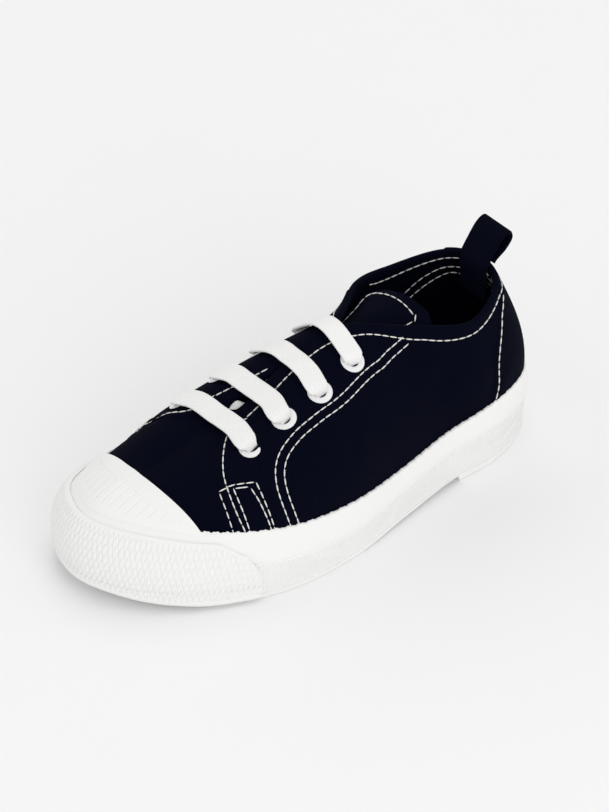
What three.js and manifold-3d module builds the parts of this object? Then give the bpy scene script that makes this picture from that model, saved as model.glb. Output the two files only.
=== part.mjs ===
// A child's canvas sneaker, left foot: canvas upper on a vulcanised rubber sole, with a ribbed
// rubber toe cap, a knurled toe bumper, eight eyelets, a lace in four bars and a heel pull loop.
// Millimetres, +Z up, the toe points along -Y and the outer (lateral) side of the foot is +X.
// Every curved piece is cut from one surface, the last: the form that the shoe is made over.
import * as THREE from 'three';
import { mergeVertices } from 'three/addons/utils/BufferGeometryUtils.js';
import Module from 'manifold-3d';

const wasm = await Module();
wasm.setup();

// ---------------------------------------------------------------- driving dimensions
const GAP = 0.3;                 // left between curved pieces that touch on the real shoe
const CENTRE = { x: 1.9, y: -2.3 };   // middle of the shoe's box, in the last's own coordinates

const STATIONS = 60;             // facets round the shoe
const UPPER = { wall: 1.6, rows: 12 };
const THROAT = { start: 3.8, taper: 0.12 };       // station where the throat's slit begins to open
const TOE_CAP = { thickness: 1.5, rearY: -69, rearX: -10, rearRadius: 122, reach: 3.1, rows: 7, gap: 0.45 };
const FOXING = { rows: 7, gap: 0.45 };
const BUMPER = {
  thickness: 1.2, reach: 3.51, slant: 0.17, topShare: 0.87, drop: 0.2, dropStart: 2.9, dropEnd: 3.4, rows: 7,
  gap: 0.45,
};
const OUTSOLE = { inset: 0.3, bevel: 0.4 };
const INSOLE = { inset: 2.2, thickness: 2.4 };
const EYELET = {
  seat: 0.6, flange: 4.4, bore: 2.2, barrel: 2.7, hole: 3.1, thickness: 0.7, tail: 1.5, sides: 10,
};
const LACE = {
  width: 8.2, thickness: 1.5, bunched: 2.7, bunchedThick: 1.7, tuckDepth: 2.65, archRise: 0.8, steps: 18,
  hiddenWidth: 3.4, hiddenThick: 1.1, hiddenDepth: 3.1, hiddenSag: 1.0, hiddenSteps: 7,
};
const TONGUE = { thickness: 1.6, columns: 8, rings: 20 };
const LOOP = { width: 14.5, thickness: 1.3 };

const COLOUR = { canvas: 0x0b0f18, rubber: 0xf0f0ee, lace: 0xf4f4f2, lining: 0x141a26 };

// ---------------------------------------------------------------- tables
// The last, one row for each station from the toe tip back to the heel.
// y, lateral, medial: the feather line, where the upper meets the sole.
// topY, topZ: the top edge or, ahead of the throat, the ridge of the vamp; ridge: its x.
// topLateral, topMedial: x of the two edges of the throat and collar.
// fullness: 1 is a straight side, 2 an ellipse; swell: how far the side bulges past that.
const LAST = table(
  ['y', 'lateral', 'medial', 'topY', 'topZ', 'ridge', 'topLateral', 'topMedial', 'fullness', 'swell'],
  {
    toe_tip:     [-92.8, -6.4, -6.4, -65.0, 37.2, -6.0, -6.0, -6.0, 2.5, 1.0],
    toe_corner:  [-88.0, 8.0, -22.5, -61.0, 37.5, -5.5, -5.5, -5.5, 2.5, 1.0],
    toe_side:    [-76.8, 20.6, -29.8, -54.0, 39.4, -5.0, -5.0, -5.0, 2.4, 1.0],
    joint_front: [-60.0, 30.6, -33.0, -43.0, 44.0, -4.5, -4.5, -4.5, 2.4, 1.0],
    ball:        [-36.0, 37.2, -31.5, -28.0, 49.0, -4.0, -0.2, -6.2, 2.7, 1.5],
    waist_front: [-10.0, 36.6, -26.5, -8.0, 59.2, -3.0, -0.4, -2.2, 2.4, 2.0],
    waist:       [16.5, 31.0, -23.0, 13.5, 66.4, -2.5, 1.5, -1.5, 1.8, 2.5],
    heel_front:  [42.5, 25.7, -22.5, 36.1, 63.8, -1.0, 15.3, -18.8, 1.1, 3.0],
    heel_side:   [64.5, 23.5, -21.5, 56.3, 60.0, 0.0, 21.1, -23.6, 1.0, 3.5],
    heel_corner: [82.8, 14.5, -13.5, 73.3, 64.4, 0.0, 14.3, -14.8, 1.0, 5.4],
    heel_back:   [89.2, 0.8, 0.8, 78.1, 67.0, 0.5, 0.5, 0.5, 1.0, 3.8],
  });
// The sole's heights at the same stations: tread underside without the heel step, lower edge of
// the foxing, feather line and upper edge of the foxing.
const SOLE = table(
  ['tread', 'edge', 'feather', 'foxingTop'],
  {
    toe_tip:     [5.0, 7.0, 10.0, 31.0],
    toe_corner:  [4.3, 6.3, 9.6, 30.7],
    toe_side:    [2.0, 4.1, 8.6, 29.5],
    joint_front: [0.0, 2.3, 7.4, 27.2],
    ball:        [0.0, 2.2, 7.2, 25.0],
    waist_front: [0.0, 2.3, 7.6, 22.8],
    waist:       [1.2, 3.0, 8.8, 21.4],
    heel_front:  [2.2, 3.3, 10.0, 22.2],
    heel_side:   [2.2, 2.7, 10.8, 25.8],
    heel_corner: [2.2, 2.3, 11.0, 27.2],
    heel_back:   [2.2, 2.2, 11.0, 26.2],
  });
const HEEL_BREAST = 7.16;        // station where the heel block steps down to the floor

// How far the foxing stands proud of the last, by height: 0 its lower edge, 1 its upper edge.
const FOXING_PROUD = [3.0, 3.4, 3.6, 3.6, 3.4, 2.8, 1.9];
const FOXING_THIN_AT_TOE = 0.75; // the band is pressed thinner where the bumper covers it

// Eyelets from the toe up: station, and distance from the throat's edge along the canvas.
const EYELETS = table(
  ['station', 'lateralInset', 'medialInset'],
  {
    first:  [3.8, 20.4, 20.0],
    second: [4.43, 16.4, 15.9],
    third:  [5.07, 17.5, 16.4],
    fourth: [5.76, 14.5, 16.8],
  });

// The tongue's middle line: place, height of its face, half width, fall towards its edges, and
// how much higher and further back its lateral edge lies than its middle.
const TONGUE_LINE = table(
  ['y', 'z', 'x', 'halfWidth', 'fall', 'tilt', 'skew'],
  {
    toe_end:    [-41.0, 41.0, -4.4, 11.0, 1.0, 0.2, 0.0],
    throat:     [-28.0, 44.6, -4.0, 14.0, 1.4, 0.5, 0.0],
    lace_two:   [-16.0, 50.0, -3.5, 14.0, 3.4, 1.4, 0.0],
    lace_three: [-4.0, 55.8, -3.1, 13.4, 5.2, 2.9, 0.0],
    lace_four:  [9.0, 60.8, -2.5, 11.2, 7.4, 3.0, 0.0],
    ears:       [20.0, 62.8, -2.0, 11.0, 8.2, 3.2, 0.0],
    shoulder:   [31.0, 64.6, -1.8, 13.2, 7.4, 1.8, 0.6],
    corner:     [38.0, 65.8, -1.0, 15.2, 6.4, 0.3, 1.8],
    tip:        [41.8, 66.2, -0.4, 14.2, 5.4, 0.0, 2.6],
    end:        [43.4, 66.4, 0.0, 10.5, 2.8, 0.0, 2.2],
  });

// The pull loop in side view, from inside the heel, over the collar and back to it.
const LOOP_LINE = table(
  ['y', 'z'],
  {
    sewn_end:  [74.6, 54.0],
    inside:    [74.4, 61.0],
    collar:    [74.2, 67.6],
    front_leg: [77.6, 73.4],
    top_front: [81.2, 78.0],
    top:       [84.4, 79.4],
    top_back:  [85.4, 76.6],
    back_leg:  [82.8, 73.2],
    return:    [79.0, 70.6],
    tucked:    [77.6, 69.2],
  });

function table(columns, rows) {
  const values = Object.values(rows);
  const columnOf = (name) => values.map((row) => row[columns.indexOf(name)]);
  return Object.fromEntries(columns.map((name) => [name, columnOf(name)]));
}

// ---------------------------------------------------------------- the last
const END = LAST.y.length - 1;   // station number of the heel back; 0 is the toe tip
const LAP = 2 * END;             // once round: toe, lateral side, heel, medial side
const OTHER_SIDE = {
  lateral: 'medial', medial: 'lateral', topLateral: 'topMedial', topMedial: 'topLateral',
};

// A smooth curve through a column, with the value before its start and the one past its end.
function through(values, before, after, t) {
  const all = [before, ...values, after];
  const k = Math.min(Math.max(Math.floor(t), 0), values.length - 2);
  const [a, b, c, d] = all.slice(k, k + 4);
  const u = t - k;
  const square = 2 * a - 5 * b + 4 * c - d;
  const cube = -a + 3 * b - 3 * c + d;
  return 0.5 * (2 * b + (c - a) * u + square * u * u + cube * u * u * u);
}

// At toe tip and heel back a column runs on into the one of the other side.
function along(columns, name, t) {
  const other = columns[OTHER_SIDE[name]] ?? columns[name];
  return through(columns[name], other[1], other[other.length - 2], t);
}

function open(columns, name, t) {
  const values = columns[name];
  const last = values.length - 1;
  return through(values, 2 * values[0] - values[1], 2 * values[last] - values[last - 1], t);
}

const around = (w) => ((w % LAP) + LAP) % LAP;
const stationOf = (w) => (around(w) <= END ? around(w) : LAP - around(w));
const sideOf = (w) => (around(w) <= END ? 'Lateral' : 'Medial');
const isClosed = (w) => stationOf(w) <= THROAT.start + 1e-9;

function featherXY(w) {
  const t = stationOf(w);
  return [along(LAST, sideOf(w).toLowerCase(), t), along(LAST, 'y', t)];
}

function outwardXY(w) {
  const step = 0.02;
  const [x0, y0] = featherXY(w - step);
  const [x1, y1] = featherXY(w + step);
  const length = Math.hypot(x1 - x0, y1 - y0);
  return [(y1 - y0) / length, (x0 - x1) / length];
}

function topEdge(w) {
  const t = stationOf(w);
  const ridge = along(LAST, 'ridge', t);
  const opening = isClosed(w) ? 0 : Math.sqrt(Math.min((t - THROAT.start) / THROAT.taper, 1));
  const edge = along(LAST, `top${sideOf(w)}`, t);
  return [ridge + (edge - ridge) * opening, along(LAST, 'topY', t), along(LAST, 'topZ', t)];
}

// The section at w, from the feather line up to the top edge, as points with their arc lengths.
const SECTION_STEPS = 28;
const sections = new Map();
function section(w) {
  const key = around(w).toFixed(5);
  if (sections.has(key)) return sections.get(key);
  const t = stationOf(w);
  const [px, py] = featherXY(w);
  const [nx, ny] = outwardXY(w);
  const [rx, ry, rz] = topEdge(w);
  const foot = along(SOLE, 'feather', t);
  const power = 2 / Math.max(along(LAST, 'fullness', t), 1);
  const swell = along(LAST, 'swell', t);
  const points = [];
  const lengths = [];
  for (let i = 0; i <= SECTION_STEPS; i += 1) {
    const angle = (Math.PI / 2) * (i / SECTION_STEPS);
    const inward = 1 - Math.max(Math.cos(angle), 0) ** power;
    const rise = Math.sin(angle) ** power;
    const bulge = swell * Math.sin(Math.PI * rise);
    const x = px + (rx - px) * inward + nx * bulge;
    const y = py + (ry - py) * inward + ny * bulge;
    const z = foot + (rz - foot) * rise;
    const p = new THREE.Vector3(x, y, z);
    lengths.push(i === 0 ? 0 : lengths[i - 1] + p.distanceTo(points[i - 1]));
    points.push(p);
  }
  const result = { points, lengths, girth: lengths[SECTION_STEPS] };
  sections.set(key, result);
  return result;
}

// A point of the last: w runs round the shoe, f is the fraction of the way up the section.
function lastPoint(w, f) {
  if (f > 1 && isClosed(w)) return lastPoint(LAP - around(w), 2 - f);
  if (f > 1) return lastPoint(w, 1).multiplyScalar(2).sub(lastPoint(w, 2 - f));
  if (f < 0) return lastPoint(w, 0).multiplyScalar(2).sub(lastPoint(w, -f));
  const { points, lengths, girth } = section(w);
  const target = f * girth;
  let i = 1;
  while (i < SECTION_STEPS && lengths[i] < target) i += 1;
  const part = (target - lengths[i - 1]) / (lengths[i] - lengths[i - 1]);
  return points[i - 1].clone().lerp(points[i], part);
}

// Where the ridge is closed, the step along the shoe stays on the closed part, and at the toe tip
// the step across stays short of the point where the ridge starts.
function lastNormal(w, fraction) {
  const stepW = 0.06;
  const stepF = 0.03;
  const f = stationOf(w) === 0 ? Math.min(fraction, 1 - stepF) : fraction;
  const within = (other) => (isClosed(w) && !isClosed(other) ? w : other);
  const alongShoe = lastPoint(within(w + stepW), f).sub(lastPoint(within(w - stepW), f));
  const upward = lastPoint(w, f + stepF).sub(lastPoint(w, f - stepF));
  return alongShoe.cross(upward).normalize();
}

const proudOfLast = (w, f, distance) => lastPoint(w, f).addScaledVector(lastNormal(w, f), distance);

function fractionAtHeight(w, z) {
  const { points, lengths, girth } = section(w);
  let i = 1;
  while (i < SECTION_STEPS && points[i].z < z) i += 1;
  const part = (z - points[i - 1].z) / (points[i].z - points[i - 1].z);
  return (lengths[i - 1] + (lengths[i] - lengths[i - 1]) * Math.min(Math.max(part, 0), 1)) / girth;
}

// The wall of the sole below the feather line stands straight down from it.
function wallPoint(w, height, distance) {
  const feather = along(SOLE, 'feather', stationOf(w));
  if (height > feather) return proudOfLast(w, fractionAtHeight(w, height), distance);
  const [x, y] = featherXY(w);
  const [nx, ny] = outwardXY(w);
  return new THREE.Vector3(x + nx * distance, y + ny * distance, height);
}

// ---------------------------------------------------------------- making solids
class Faces {
  constructor() {
    this.positions = [];
    this.indices = [];
  }

  add(point) {
    this.positions.push(point.x, point.y, point.z);
    return this.positions.length / 3 - 1;
  }

  at(index) {
    return new THREE.Vector3().fromArray(this.positions, index * 3);
  }

  quad(a, b, c, d) {
    const shortWay = this.at(a).distanceTo(this.at(c)) <= this.at(b).distanceTo(this.at(d));
    if (shortWay) this.indices.push(a, b, c, a, c, d);
    else this.indices.push(a, b, d, b, c, d);
  }

  geometry() {
    const raw = new THREE.BufferGeometry();
    raw.setAttribute('position', new THREE.Float32BufferAttribute(this.positions, 3));
    raw.setIndex(this.indices);
    const merged = mergeVertices(raw, 1e-4);
    const source = merged.index.array;
    const kept = [];
    for (let i = 0; i < source.length; i += 3) {
      const [a, b, c] = source.slice(i, i + 3);
      if (a !== b && b !== c && c !== a) kept.push(a, b, c);
    }
    merged.setIndex(kept);
    return merged;
  }
}

// A closed wall between two skins laid over the same grid. inner and outer give a point for each
// station and row; lap joins the last station to the first; rimmed says where the top is open.
function shell({ stations, rows, inner, outer, lap = false, rimmed = () => true }) {
  const faces = new Faces();
  const lay = (skin) => stations.map((w) => rows.map((row) => faces.add(skin(w, row))));
  const out = lay(outer);
  const inn = lay(inner);
  const top = rows.length - 1;
  const spans = lap ? stations.length : stations.length - 1;
  for (let i = 0; i < spans; i += 1) {
    const next = (i + 1) % stations.length;
    for (let j = 0; j < top; j += 1) {
      faces.quad(out[i][j], out[next][j], out[next][j + 1], out[i][j + 1]);
      faces.quad(inn[i][j], inn[i][j + 1], inn[next][j + 1], inn[next][j]);
    }
    faces.quad(out[next][0], out[i][0], inn[i][0], inn[next][0]);
    if (rimmed(stations[i], stations[next])) {
      faces.quad(out[i][top], out[next][top], inn[next][top], inn[i][top]);
    }
  }
  if (!lap) {
    const end = stations.length - 1;
    for (let j = 0; j < top; j += 1) {
      faces.quad(out[0][j], out[0][j + 1], inn[0][j + 1], inn[0][j]);
      faces.quad(out[end][j + 1], out[end][j], inn[end][j], inn[end][j + 1]);
    }
  }
  return faces.geometry();
}

// A closed body through rings of equal length; the first and last ring are closed by flat ends,
// unless they have shrunk to a line that meets itself.
function loft(rings, capped = true) {
  const faces = new Faces();
  const ids = rings.map((ring) => ring.map((point) => faces.add(point)));
  const count = rings[0].length;
  for (let i = 0; i + 1 < rings.length; i += 1) {
    for (let j = 0; j < count; j += 1) {
      const next = (j + 1) % count;
      faces.quad(ids[i][j], ids[i][next], ids[i + 1][next], ids[i + 1][j]);
    }
  }
  if (capped) {
    for (let j = 0; j < count / 2 - 1; j += 1) {
      const first = ids[0];
      const last = ids[ids.length - 1];
      faces.quad(first[j + 1], first[j], first[count - 1 - j], first[count - 2 - j]);
      faces.quad(last[j], last[j + 1], last[count - 2 - j], last[count - 1 - j]);
    }
  }
  return faces.geometry();
}

function toSolid(geometry) {
  const bare = new THREE.BufferGeometry();
  bare.setAttribute('position', geometry.getAttribute('position'));
  bare.setIndex(geometry.index);
  const merged = mergeVertices(bare, 1e-4);
  const vertProperties = Float32Array.from(merged.getAttribute('position').array);
  const triVerts = Uint32Array.from(merged.index.array);
  return new wasm.Manifold(new wasm.Mesh({ numProp: 3, vertProperties, triVerts }));
}

function toGeometry(solid) {
  const mesh = solid.getMesh();
  const geometry = new THREE.BufferGeometry();
  geometry.setAttribute('position', new THREE.Float32BufferAttribute(mesh.vertProperties, 3));
  geometry.setIndex([...mesh.triVerts]);
  return geometry;
}

const evenly = (from, to, count) => {
  const step = (to - from) / (count - 1);
  return Array.from({ length: count }, (_, i) => from + step * i);
};

// ---------------------------------------------------------------- eyelet places
const NAMES = ['first', 'second', 'third', 'fourth'];
const SIDES = ['lateral', 'medial'];

function eyeletFrame(row, side) {
  const t = EYELETS.station[row];
  const w = side === 'lateral' ? t : LAP - t;
  const f = 1 - EYELETS[`${side}Inset`][row] / section(w).girth;
  const centre = lastPoint(w, f);
  const normal = lastNormal(w, f);
  return { w, f, centre, normal };
}

// A shape turned about its own axis, its axis laid along the canvas normal at an eyelet.
function standOn({ centre, normal }, geometry) {
  const turn = new THREE.Quaternion().setFromUnitVectors(new THREE.Vector3(0, 0, 1), normal);
  return geometry.applyQuaternion(turn).translate(centre.x, centre.y, centre.z);
}

function turned(profile, sides) {
  const points = profile.map(([radius, height]) => new THREE.Vector2(radius, height));
  return new THREE.LatheGeometry(points, sides).rotateX(Math.PI / 2);
}

// ---------------------------------------------------------------- pieces
// Stations round the shoe, shared by the pieces that lie on each other so that their facets run
// side by side. The throat's start has its own, in place of those that lie too close to it.
function stationsRound() {
  const { start, taper } = THROAT;
  const named = [start, start + taper / 4, start + taper].flatMap((t) => [t, LAP - t]);
  const even = evenly(0, LAP, STATIONS + 1).slice(0, STATIONS);
  const free = even.filter((w) => named.every((other) => Math.abs(w - other) > 0.1));
  return [...free, ...named].sort((a, b) => a - b);
}

// Those round the toe only, from the medial side to the lateral side, ending at the given
// stations.
function stationsAtToe(ends) {
  const ahead = stationsRound().filter((w) => w > 0 && w < ends[0] - 0.12);
  const lateral = [...ahead, ...ends];
  return [...lateral.map((w) => -w).reverse(), 0, ...lateral];
}

// Canvas and lining as one hollow wall: open below, at the throat and at the collar.
function makeUpper() {
  const wall = shell({
    stations: stationsRound(),
    rows: evenly(0, 1, UPPER.rows),
    outer: (w, f) => lastPoint(w, f),
    inner: (w, f) => proudOfLast(w, f, -UPPER.wall),
    lap: true,
    rimmed: (w, next) => !(isClosed(w) && isClosed(next)),
  });
  let solid = toSolid(wall);
  const reach = 5;
  const punch = [[0, -reach], [EYELET.hole, -reach], [EYELET.hole, reach], [0, reach]];
  for (const side of SIDES) {
    for (let row = 0; row < NAMES.length; row += 1) {
      const hole = toSolid(standOn(eyeletFrame(row, side), turned(punch, EYELET.sides)));
      solid = solid.subtract(hole);
    }
  }
  return toGeometry(solid);
}

// The cap lies over the upper and butts on the foxing's top edge; its rear edge is a shallow arc.
function makeToeCap() {
  const bottom = (w) => fractionAtHeight(w, along(SOLE, 'foxingTop', stationOf(w)) + 2 * GAP);
  const skin = (distance) => (w, row) => {
    const low = bottom(w);
    return proudOfLast(w, low + (1 - low) * row, distance);
  };
  const whole = shell({
    stations: stationsAtToe([TOE_CAP.reach]),
    rows: evenly(0, 1, TOE_CAP.rows),
    inner: skin(TOE_CAP.gap),
    outer: skin(TOE_CAP.gap + TOE_CAP.thickness),
    rimmed: () => false,
  });
  const { rearX, rearY, rearRadius } = TOE_CAP;
  const behind = [[0, 0], [rearRadius, 0], [rearRadius, 100], [0, 100]];
  const drum = turned(behind, 120).translate(rearX, rearY + rearRadius, 0);
  return toGeometry(toSolid(whole).subtract(toSolid(drum)));
}

function foxingProud(w, height) {
  const place = Math.min(Math.max(height, 0), 1) * (FOXING_PROUD.length - 1);
  const k = Math.min(Math.floor(place), FOXING_PROUD.length - 2);
  const full = FOXING_PROUD[k] + (FOXING_PROUD[k + 1] - FOXING_PROUD[k]) * (place - k);
  const behindBumper = THREE.MathUtils.smoothstep(stationOf(w), BUMPER.reach - 0.5, BUMPER.reach + 0.3);
  return full * (FOXING_THIN_AT_TOE + (1 - FOXING_THIN_AT_TOE) * behindBumper);
}

// The rubber band that wraps the whole shoe.
function makeFoxing() {
  const skin = (distance) => (w, row) => {
    const t = stationOf(w);
    const low = along(SOLE, 'edge', t);
    const height = low + (along(SOLE, 'foxingTop', t) - low) * row;
    return wallPoint(w, height, distance(w, row));
  };
  return shell({
    stations: stationsRound(),
    rows: evenly(0, 1, FOXING.rows),
    inner: skin(() => FOXING.gap),
    outer: skin(foxingProud),
    lap: true,
  });
}

// The strip over the foxing at the toe: full height in front, lower and slanted at its two ends.
function makeBumper() {
  const skin = (extra) => (station, row) => {
    const t = Math.min(Math.abs(station), BUMPER.reach - BUMPER.slant * row ** 4);
    const w = station < 0 ? -t : t;
    const low = along(SOLE, 'edge', t);
    const full = along(SOLE, 'foxingTop', t) - low;
    const lowered = 1 - BUMPER.drop * THREE.MathUtils.smoothstep(t, BUMPER.dropStart, BUMPER.dropEnd);
    const part = row * lowered * BUMPER.topShare;
    return wallPoint(w, low + full * part, foxingProud(w, part) + BUMPER.gap + extra);
  };
  return shell({
    stations: stationsAtToe(evenly(BUMPER.dropStart, BUMPER.reach, 7)),
    rows: evenly(0, 1, BUMPER.rows),
    inner: skin(0),
    outer: skin(BUMPER.thickness),
  });
}

// Points beside the feather line at station t, medial then lateral, at one height.
function acrossSole(t, distance, z) {
  return [LAP - t, t].map((w) => {
    const [x, y] = featherXY(w);
    const [nx, ny] = outwardXY(w);
    return new THREE.Vector3(x + nx * distance, y + ny * distance, z);
  });
}

// The outsole: a lip flush under the foxing, and the block inside it that the foot stands on.
// The forefoot and the heel block are flat on the floor, with the waist and the toe clear of it.
function makeOutsole() {
  const breast = [HEEL_BREAST, HEEL_BREAST + 0.03];
  const stations = evenly(0, END, 39).filter((t) => Math.abs(t - HEEL_BREAST) > 0.1);
  stations.push(...breast);
  stations.sort((a, b) => a - b);
  const rings = stations.map((t) => {
    const floor = t > HEEL_BREAST ? 0 : Math.max(along(SOLE, 'tread', t), 0);
    const lipTop = Math.max(along(SOLE, 'edge', t), 2) - GAP;
    const blockTop = along(SOLE, 'feather', t) - 2 * GAP;
    const proud = foxingProud(t, 0);
    const levels = [
      acrossSole(t, proud - OUTSOLE.bevel, floor),
      acrossSole(t, proud, lipTop),
      acrossSole(t, -OUTSOLE.inset, lipTop),
      acrossSole(t, -OUTSOLE.inset, blockTop),
    ];
    const medial = levels.map((pair) => pair[0]);
    const lateral = levels.map((pair) => pair[1]).reverse();
    return [...medial, ...lateral];
  });
  return loft(rings, false);
}

function makeInsole() {
  const rings = evenly(0, END, 33).map((t) => {
    const low = along(SOLE, 'feather', t);
    const [medialLow, lateralLow] = acrossSole(t, -INSOLE.inset, low);
    const [medialTop, lateralTop] = acrossSole(t, -INSOLE.inset, low + INSOLE.thickness);
    return [medialLow, medialTop, lateralTop, lateralLow];
  });
  return loft(rings, false);
}

// The tongue: a padded sheet under the throat, arched across and rounded at its free end.
function makeTongue() {
  const last = TONGUE_LINE.y.length - 1;
  const rings = evenly(0, last, TONGUE.rings).map((place) => {
    const at = (name) => open(TONGUE_LINE, name, place);
    const face = evenly(-1, 1, TONGUE.columns + 1).map((side) => {
      const height = at('z') + at('tilt') * side - at('fall') * side * side;
      return new THREE.Vector3(at('x') + side * at('halfWidth'), at('y') + side * at('skew'), height);
    });
    const back = face.map((point, i) => {
      const side = -1 + (2 * i) / TONGUE.columns;
      const slope = (at('tilt') - 2 * at('fall') * side) / at('halfWidth');
      const inward = new THREE.Vector3(slope, 0, -1).normalize();
      return point.clone().addScaledVector(inward, TONGUE.thickness);
    });
    return [...face, ...back.reverse()];
  });
  return loft(rings);
}

function makeEyelet(row, side) {
  const { seat, flange, bore, barrel, tail, thickness, sides } = EYELET;
  const top = seat + thickness;
  const profile = [
    [barrel, -tail], [barrel, seat], [flange, seat], [flange, top - 0.45], [flange - 0.6, top],
    [barrel, top], [bore, top - 0.4], [bore, -tail], [barrel, -tail],
  ];
  return standOn(eyeletFrame(row, side), turned(profile, sides));
}

// The height of the last above a point near the throat.
function heightOverLast(x, y) {
  let t = 4.5;
  let height = 0;
  for (let round = 0; round < 12; round += 1) {
    const w = x > along(LAST, 'ridge', t) ? t : LAP - t;
    const { points, lengths, girth } = section(w);
    const inwards = points.findIndex((p) => (w === t ? p.x <= x : p.x >= x) && p.z > 30);
    const i = inwards < 1 ? SECTION_STEPS : inwards;
    const span = points[i].x - points[i - 1].x;
    const part = Math.min(Math.max((x - points[i - 1].x) / span, 0), 1);
    const p = lastPoint(w, (lengths[i - 1] + (lengths[i] - lengths[i - 1]) * part) / girth);
    height = p.z;
    t = Math.min(Math.max(t + (y - p.y) / 22, 3), 7);
  }
  return height;
}

// A flat tape swept along a curve, its width across the given direction.
const TAPE_OUTLINE = [
  [1, 0.4], [0.72, 1], [-0.72, 1], [-1, 0.4], [-1, -0.4], [-0.72, -1], [0.72, -1], [1, -0.4],
];
function tape(points, widthWay, steps, sizeAt) {
  const curve = new THREE.CatmullRomCurve3(points, false, 'centripetal');
  const rings = evenly(0, 1, steps + 1).map((part) => {
    const u = 0.5 - 0.5 * Math.cos(Math.PI * part);
    const centre = curve.getPointAt(u);
    const tangent = curve.getTangentAt(u);
    const across = widthWay.clone().addScaledVector(tangent, -widthWay.dot(tangent)).normalize();
    const up = tangent.clone().cross(across);
    const [width, thickness] = sizeAt(u);
    return TAPE_OUTLINE.map(([a, b]) => centre.clone()
      .addScaledVector(across, (a * width) / 2)
      .addScaledVector(up, (b * thickness) / 2));
  });
  return loft(rings);
}

// One bar: up through an eyelet, across the throat clear of the canvas, and down the other one.
function makeBar(row) {
  const [from, to] = SIDES.map((side) => eyeletFrame(row, side));
  const across = to.centre.clone().sub(from.centre);
  const way = across.clone().normalize();
  const above = from.normal.clone().add(to.normal).normalize();
  const widthWay = above.cross(way).normalize();
  const clear = EYELET.seat + EYELET.thickness + GAP + LACE.thickness / 2;
  const climb = ({ centre, normal }, towards) => {
    const inward = towards.clone().addScaledVector(normal, -towards.dot(normal)).normalize();
    const turns = [
      [-LACE.tuckDepth - 0.6, 0], [-0.9, 0], [0.9, 0], [clear, 0.8], [clear + 0.6, 2.8],
    ];
    const place = ([up, over]) => centre.clone().addScaledVector(normal, up).addScaledVector(inward, over);
    return turns.map(place);
  };
  const arch = [0.2, 0.35, 0.5, 0.65, 0.8].map((u) => {
    const point = from.centre.clone().addScaledVector(across, u);
    point.z = heightOverLast(point.x, point.y) + clear + GAP + LACE.archRise * Math.sin(Math.PI * u);
    return point;
  });
  const start = climb(from, way);
  const finish = climb(to, way.clone().negate()).reverse();
  const sizeAt = (u) => {
    const fromEnd = Math.min(u, 1 - u);
    const spread = THREE.MathUtils.smoothstep(fromEnd, 0.1, 0.2);
    const width = LACE.bunched + (LACE.width - LACE.bunched) * spread;
    return [width, LACE.bunchedThick + (LACE.thickness - LACE.bunchedThick) * spread];
  };
  return tape([...start, ...arch, ...finish], widthWay, LACE.steps, sizeAt);
}

// A run hidden under the throat, from a medial eyelet slantwise up to the next lateral one.
function makeRun(row) {
  const from = eyeletFrame(row, 'medial');
  const to = eyeletFrame(row + 1, 'lateral');
  const tuck = ({ centre, normal }) => centre.clone().addScaledVector(normal, -LACE.tuckDepth);
  const [start, end] = [tuck(from), tuck(to)];
  const points = evenly(0, 1, LACE.hiddenSteps).map((u) => {
    const point = start.clone().lerp(end, u);
    const depth = LACE.hiddenDepth + LACE.hiddenSag * (2 * u - 1) ** 2;
    if (u > 0 && u < 1) point.z = heightOverLast(point.x, point.y) - depth;
    return point;
  });
  const way = end.clone().sub(start).normalize();
  const widthWay = from.normal.clone().add(to.normal).normalize().cross(way);
  return tape(points, widthWay, LACE.hiddenSteps, () => [LACE.hiddenWidth, LACE.hiddenThick]);
}

// One lace: four bars outside, joined by three runs that slant across behind the canvas.
function makeLace() {
  const bars = NAMES.map((_, row) => toSolid(makeBar(row)));
  const runs = NAMES.slice(1).map((_, row) => toSolid(makeRun(row)));
  return toGeometry([...bars, ...runs].reduce((whole, next) => whole.add(next)));
}

// The pull loop: one tape sewn inside the heel, folded over and tucked back behind the collar.
function makePullLoop() {
  const last = LOOP_LINE.y.length - 1;
  const middle = LAST.ridge[END];
  const line = evenly(0, last, 30).map((place) => {
    const y = open(LOOP_LINE, 'y', place);
    return new THREE.Vector3(middle, y, open(LOOP_LINE, 'z', place));
  });
  const curve = new THREE.CatmullRomCurve3(line);
  const rings = evenly(0, 1, 27).map((u) => {
    const centre = curve.getPointAt(u);
    const tangent = curve.getTangentAt(u);
    const across = new THREE.Vector3(1, 0, 0);
    const up = tangent.clone().cross(across);
    return [[1, 1], [-1, 1], [-1, -1], [1, -1]].map(([a, b]) => centre.clone()
      .addScaledVector(across, (a * LOOP.width) / 2)
      .addScaledVector(up, (b * LOOP.thickness) / 2));
  });
  return loft(rings);
}

// ---------------------------------------------------------------- the shoe
const canvas = new THREE.MeshStandardMaterial({ color: COLOUR.canvas, roughness: 0.9 });
const lining = new THREE.MeshStandardMaterial({ color: COLOUR.lining, roughness: 0.95 });
const rubber = new THREE.MeshStandardMaterial({ color: COLOUR.rubber, roughness: 0.55 });
const cord = new THREE.MeshStandardMaterial({ color: COLOUR.lace, roughness: 0.85 });
const enamel = new THREE.MeshStandardMaterial({ color: COLOUR.rubber, roughness: 0.35, metalness: 0.1 });

const shoe = new THREE.Group();
shoe.position.set(-CENTRE.x, -CENTRE.y, 0);

function put(name, geometry, material) {
  const mesh = new THREE.Mesh(geometry, material.clone());
  mesh.name = name;
  shoe.add(mesh);
}

put('outsole', makeOutsole(), rubber);
put('foxing', makeFoxing(), rubber);
put('toe_bumper', makeBumper(), rubber);
put('toe_cap', makeToeCap(), rubber);
put('insole', makeInsole(), lining);
put('upper', makeUpper(), canvas);
put('tongue', makeTongue(), canvas);
put('lace', makeLace(), cord);
put('pull_loop', makePullLoop(), canvas);
for (const side of SIDES) {
  NAMES.forEach((name, row) => put(`eyelet_${side}_${name}`, makeEyelet(row, side), enamel));
}

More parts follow.
